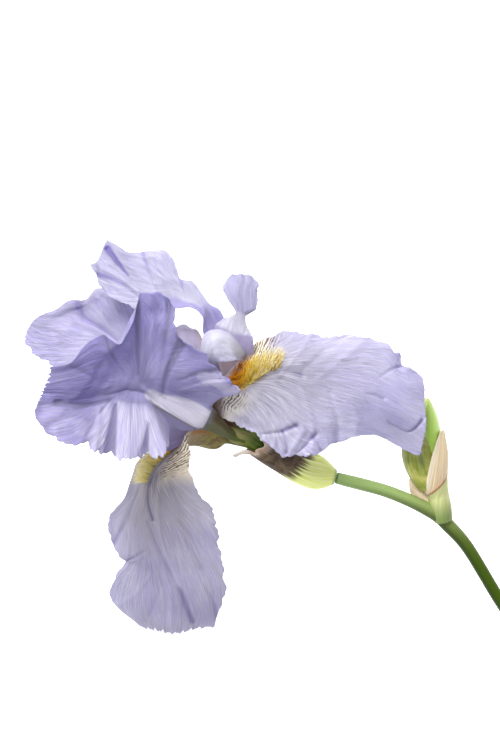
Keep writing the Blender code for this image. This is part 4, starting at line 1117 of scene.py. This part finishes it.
def one_hair():
    """A tapered hair of unit length, round in section, that stands on its root and is cut across twice along its
    length.
    """
    bpy.ops.mesh.primitive_cone_add(vertices=6, radius1=1.0, radius2=0.35, depth=1.0, location=(0, 0, 0.5))
    hair = bpy.context.object
    bpy.ops.object.transform_apply(location=True, rotation=True, scale=True)
    bpy.ops.object.mode_set(mode="EDIT")
    bpy.ops.mesh.select_all(action="SELECT")
    bpy.ops.mesh.bisect(plane_co=(0, 0, 0.45), plane_no=(0, 0, 1))
    bpy.ops.mesh.select_all(action="SELECT")
    bpy.ops.mesh.bisect(plane_co=(0, 0, 0.8), plane_no=(0, 0, 1))
    bpy.ops.object.mode_set(mode="OBJECT")
    return hair


def beard(name, rows, strip):
    """Hairs in their hundreds beside a fall's rib, rooted in its face and leaning out over it."""
    start, end, first_sides, last_sides, lean, hairs = strip
    pattern = one_hair()
    corners = np.array([vertex.co[:] for vertex in pattern.data.vertices])
    faces = [list(face.vertices) for face in pattern.data.polygons]
    draw = random.Random(7)
    points, polygons, beard_share, hair_share = [], [], [], []
    for count in range(hairs):
        share = ((count + draw.random()) / hairs) ** 1.4
        u = np.array([start + (end - start) * share])
        near_side, far_side = ((1 - share) * first + share * last for first, last in zip(first_sides, last_sides))
        v = np.array([draw.uniform(near_side, far_side)])
        normal = row_normals(rows, u, v)[0]
        if normal[2] < 0:
            normal = -normal
        root = row_surface(rows, u, v)[0] + normal * (PETAL_WALL / 2 - 0.3)
        ahead = row_surface(rows, u + 0.01, v)[0] - row_surface(rows, u - 0.01, v)[0]
        ahead /= np.linalg.norm(ahead)
        across = row_surface(rows, u, v + 0.02)[0] - row_surface(rows, u, v - 0.02)[0]
        across /= np.linalg.norm(across)
        way = normal + ahead * draw.uniform(-0.3, 0.6) + across * (lean + draw.uniform(-0.6, 0.5))
        way /= np.linalg.norm(way)
        length = HAIR_LENGTH * draw.uniform(0.5, 1.0) * (0.55 + 0.45 * min(1, share / 0.4))
        first = np.cross(way, ahead)
        first /= np.linalg.norm(first)
        second = np.cross(way, first)
        bend = corners[:, 2:3] ** 2 * ahead * draw.uniform(-0.1, 0.5) * length * 0.4
        spread = (first * corners[:, 0:1] + second * corners[:, 1:2]) * HAIR_RADIUS
        polygons += [[corner + len(points) for corner in face] for face in faces]
        points += list(root + spread + way * corners[:, 2:3] * length + bend)
        beard_share += [share] * len(corners)
        hair_share += list(corners[:, 2])
    bpy.data.objects.remove(pattern)
    mesh = bpy.data.meshes.new(name)
    mesh.from_pydata([(point + HEART) * MM for point in points], [], polygons)
    for title, values in (("along_beard", beard_share), ("along_hair", hair_share)):
        mesh.attributes.new(title, "FLOAT", "POINT").data.foreach_set("value", values)
    mesh.shade_smooth()
    piece = bpy.data.objects.new(name, mesh)
    bpy.context.scene.collection.objects.link(piece)
    return piece


orange_beard = beard_skin("orange_beard", (0.56, 0.19, 0.001, 1), (0.62, 0.44, 0.03, 1), (0.80, 0.75, 0.45, 1))
olive_beard = beard_skin("olive_beard", (0.95, 0.68, 0.05, 1), (0.92, 0.82, 0.30, 1), (0.95, 0.90, 0.60, 1))
for side, finish in (("right", orange_beard), ("lower", olive_beard), ("under", orange_beard)):
    hairs = beard(f"beard_{side}_hairs", FALLS[side][0], BEARDS[side])
    hand_over(hairs, finish, f"beard_{side}")

# Side bud
# A closed bud, green and pointed, in three bracts: an olive one on its left, a dry papery one that
# wraps its right side down to the stem, and a small papery one at its foot.

BUD_PATH = [
    (77, -24, -18.5, 1.5),
    (75.8, -20, -17.5, 3.6),
    (74.2, -15.5, -16.5, 5.4),
    (72.6, -9, -15.5, 6.9),
    (71.6, 0, -14.5, 6.8),
    (71.7, 7.5, -13.5, 5.2),
    (72.2, 13, -12.5, 2.4),
    (72.5, 15.5, -12, 0.5),
]
OLIVE_SHIFT = -1.9                           # the olive bract bulges to the left of the bud
BUD_BRACT_OLIVE = [
    (0.04, 1.15, -110, 30),
    (0.14, 1.0, -125, 35),
    (0.28, 0.9, -140, 32),
    (0.42, 0.85, -140, 28),
    (0.5, 0.75, -125, 24),
    (0.58, 0.6, -80, 12),
    (0.62, 0.5, -40, -10),
]
SHEATH_PATH = [(79.6, -34.5, -20.8, 3.0), (78.2, -28.5, -19.2, 2.7), (77.2, -24, -18.5, 2.2)] + BUD_PATH[1:]
BUD_BRACT_PAPER = [
    (0.0, 0.3, -150, 150),
    (0.05, 0.9, -145, 150),
    (0.13, 1.5, -130, 150),
    (0.22, 2.0, -105, 150),
    (0.31, 1.8, -66, 145),
    (0.4, 1.5, -34, 140),
    (0.49, 1.5, -10, 132),
    (0.58, 1.6, 10, 122),
    (0.65, 1.3, 30, 108),
    (0.7, 0.8, 52, 92),
]
BUD_BRACT_SMALL = [
    [(73.1, -28.8, -19.5), (73.9, -27.6, -19), (74.7, -26.4, -19)],
    [(69.4, -26.4, -18.5), (71, -25.1, -18.5), (72.7, -23.9, -19.5)],
    [(66.2, -23.5, -17.5), (68.2, -22.3, -18), (70.2, -20.7, -19.5)],
    [(65.4, -20.3, -17), (67, -19.9, -17.5), (68.6, -18.6, -19)],
    [(65.4, -17.4, -17), (66.2, -17.2, -17.5), (67, -17, -18.5)],
]

bud_skin, tree, shader = new_finish("bud_skin", 0.4)
shader.inputs["Coat Weight"].default_value = 0.1
along, across, space = piece_places(tree)
streak, cloud = fibres(tree, 10.0)
colour = tint(tree, fade(tree, streak, 0.4, 0.65), (0.38, 0.60, 0.09, 1), (0.46, 0.64, 0.15, 1))
colour = tint(tree, fade(tree, along, 0.8, 0.97), colour, (0.52, 0.60, 0.20, 1))
wire(tree, colour, shader.inputs["Base Color"])
raise_bump(tree, shader, streak, 0.2)

olive_skin, tree, shader = new_finish("olive_bract_skin", 0.5)
along, across, space = piece_places(tree)
streak, cloud = fibres(tree, 12.0)
colour = tint(tree, fade(tree, streak, 0.4, 0.65), (0.19, 0.24, 0.02, 1), (0.36, 0.38, 0.07, 1))
colour = tint(tree, fade(tree, mottle(tree, space, 160.0), 0.45, 0.65, 0.0, 0.7), colour, (0.52, 0.50, 0.14, 1))
colour = tint(tree, fade(tree, cloud, 0.5, 0.7, 0.0, 0.5), colour, (0.14, 0.19, 0.02, 1))
colour = tint(tree, fade(tree, along, 0.9, 0.99, 0.0, 0.7), colour, (0.62, 0.62, 0.36, 1))
wire(tree, colour, shader.inputs["Base Color"])
raise_bump(tree, shader, streak, 0.2)

paper_skin, tree, shader = new_finish("papery_bract_skin", 0.65)
along, across, space = piece_places(tree)
streak, cloud = fibres(tree, 14.0)
colour = tint(tree, fade(tree, streak, 0.4, 0.65), (0.70, 0.57, 0.36, 1), (0.58, 0.44, 0.27, 1))
crease = reckon(tree, "SUBTRACT", along, reckon(tree, "MULTIPLY", across, 0.145))
fleshy = tint(tree, fade(tree, streak, 0.4, 0.65), (0.46, 0.50, 0.19, 1), (0.56, 0.57, 0.29, 1))
off_crease = reckon(tree, "ABSOLUTE", reckon(tree, "SUBTRACT", crease, 0.526))
colour = tint(tree, fade(tree, crease, 0.66, 0.53, 0.0, 0.55), colour, (0.58, 0.36, 0.20, 1))
colour = tint(tree, fade(tree, crease, 0.54, 0.5), colour, fleshy)
colour = tint(tree, fade(tree, off_crease, 0.03, 0.006, 0.0, 0.85), colour, (0.26, 0.11, 0.045, 1))
colour = tint(tree, fade(tree, across, -0.6, -1.0, 0.0, 0.5), colour, (0.74, 0.74, 0.62, 1))
colour = tint(tree, fade(tree, along, 0.36, 0.06), colour, (0.17, 0.24, 0.06, 1))
wire(tree, colour, shader.inputs["Base Color"])
raise_bump(tree, shader, streak, 0.3)

small_skin, tree, shader = new_finish("small_bract_skin", 0.65)
along, across, space = piece_places(tree)
streak, cloud = fibres(tree, 12.0)
colour = tint(tree, fade(tree, streak, 0.4, 0.65), (0.84, 0.72, 0.52, 1), (0.66, 0.48, 0.34, 1))
wire(tree, colour, shader.inputs["Base Color"])
raise_bump(tree, shader, streak, 0.3)

bud = stalk("closed_bud", BUD_PATH, 70, 48, rib_count=3, rib_height=0.2)
hand_over(bud, bud_skin, "bud")
olive_path = [(x + OLIVE_SHIFT * min(1, (y + 24) / 8), y, z, radius) for x, y, z, radius in BUD_PATH]
olive = bract("olive_bract", olive_path, BUD_BRACT_OLIVE, (60, 50), ribs=5, rib_height=0.08)
hand_over(olive, olive_skin, "bud_bract_olive")
paper = bract("papery_bract", SHEATH_PATH, BUD_BRACT_PAPER, (80, 50), ribs=7, rib_height=0.05, curl=0.3)
hand_over(paper, paper_skin, "bud_bract_paper")
small = worked_grid("small_papery_bract", 40, 24, lambda u, v: row_surface(BUD_BRACT_SMALL, u, v))
thicken(small, BRACT_WALL)
hand_over(small, small_skin, "bud_bract_small")

# Studio
# A plain white floor under the flower, one broad soft light from the top of the picture and the
# camera's side, and pale light from all round.

bpy.ops.mesh.primitive_plane_add(size=6.0, location=(0, 0, 0))
floor = bpy.context.object
floor.name = "floor"
floor_skin, tree, shader = new_finish("floor_skin", 0.9)
shader.inputs["Base Color"].default_value = (0.92, 0.92, 0.92, 1)
shader.inputs["Specular IOR Level"].default_value = 0.1
shader.inputs["Emission Color"].default_value = (1, 1, 1, 1)
shader.inputs["Emission Strength"].default_value = 0.8
floor.data.materials.append(floor_skin)

bpy.ops.object.light_add(type="AREA", location=(-0.3, 0.62, 0.85))
key = bpy.context.object
key.name = "key_light"
key.data.size = 0.5
key.data.energy = 17.5
key.data.color = (1.0, 0.985, 0.95)
key.rotation_euler = (math.radians(-35.5), math.radians(-19), 0)

bpy.ops.object.light_add(type="AREA", location=(-0.1, -0.5, 1.0))
fill = bpy.context.object
fill.name = "fill_light"
fill.data.size = 0.7
fill.data.energy = 4.0
fill.rotation_euler = (math.radians(27), math.radians(-5), 0)

world = bpy.data.worlds.new("studio")
bpy.context.scene.world = world
world.use_nodes = True
world.node_tree.nodes["Background"].inputs["Color"].default_value = (0.90, 0.90, 1.0, 1)
world.node_tree.nodes["Background"].inputs["Strength"].default_value = 0.38
bpy.context.scene.view_settings.view_transform = "Standard"
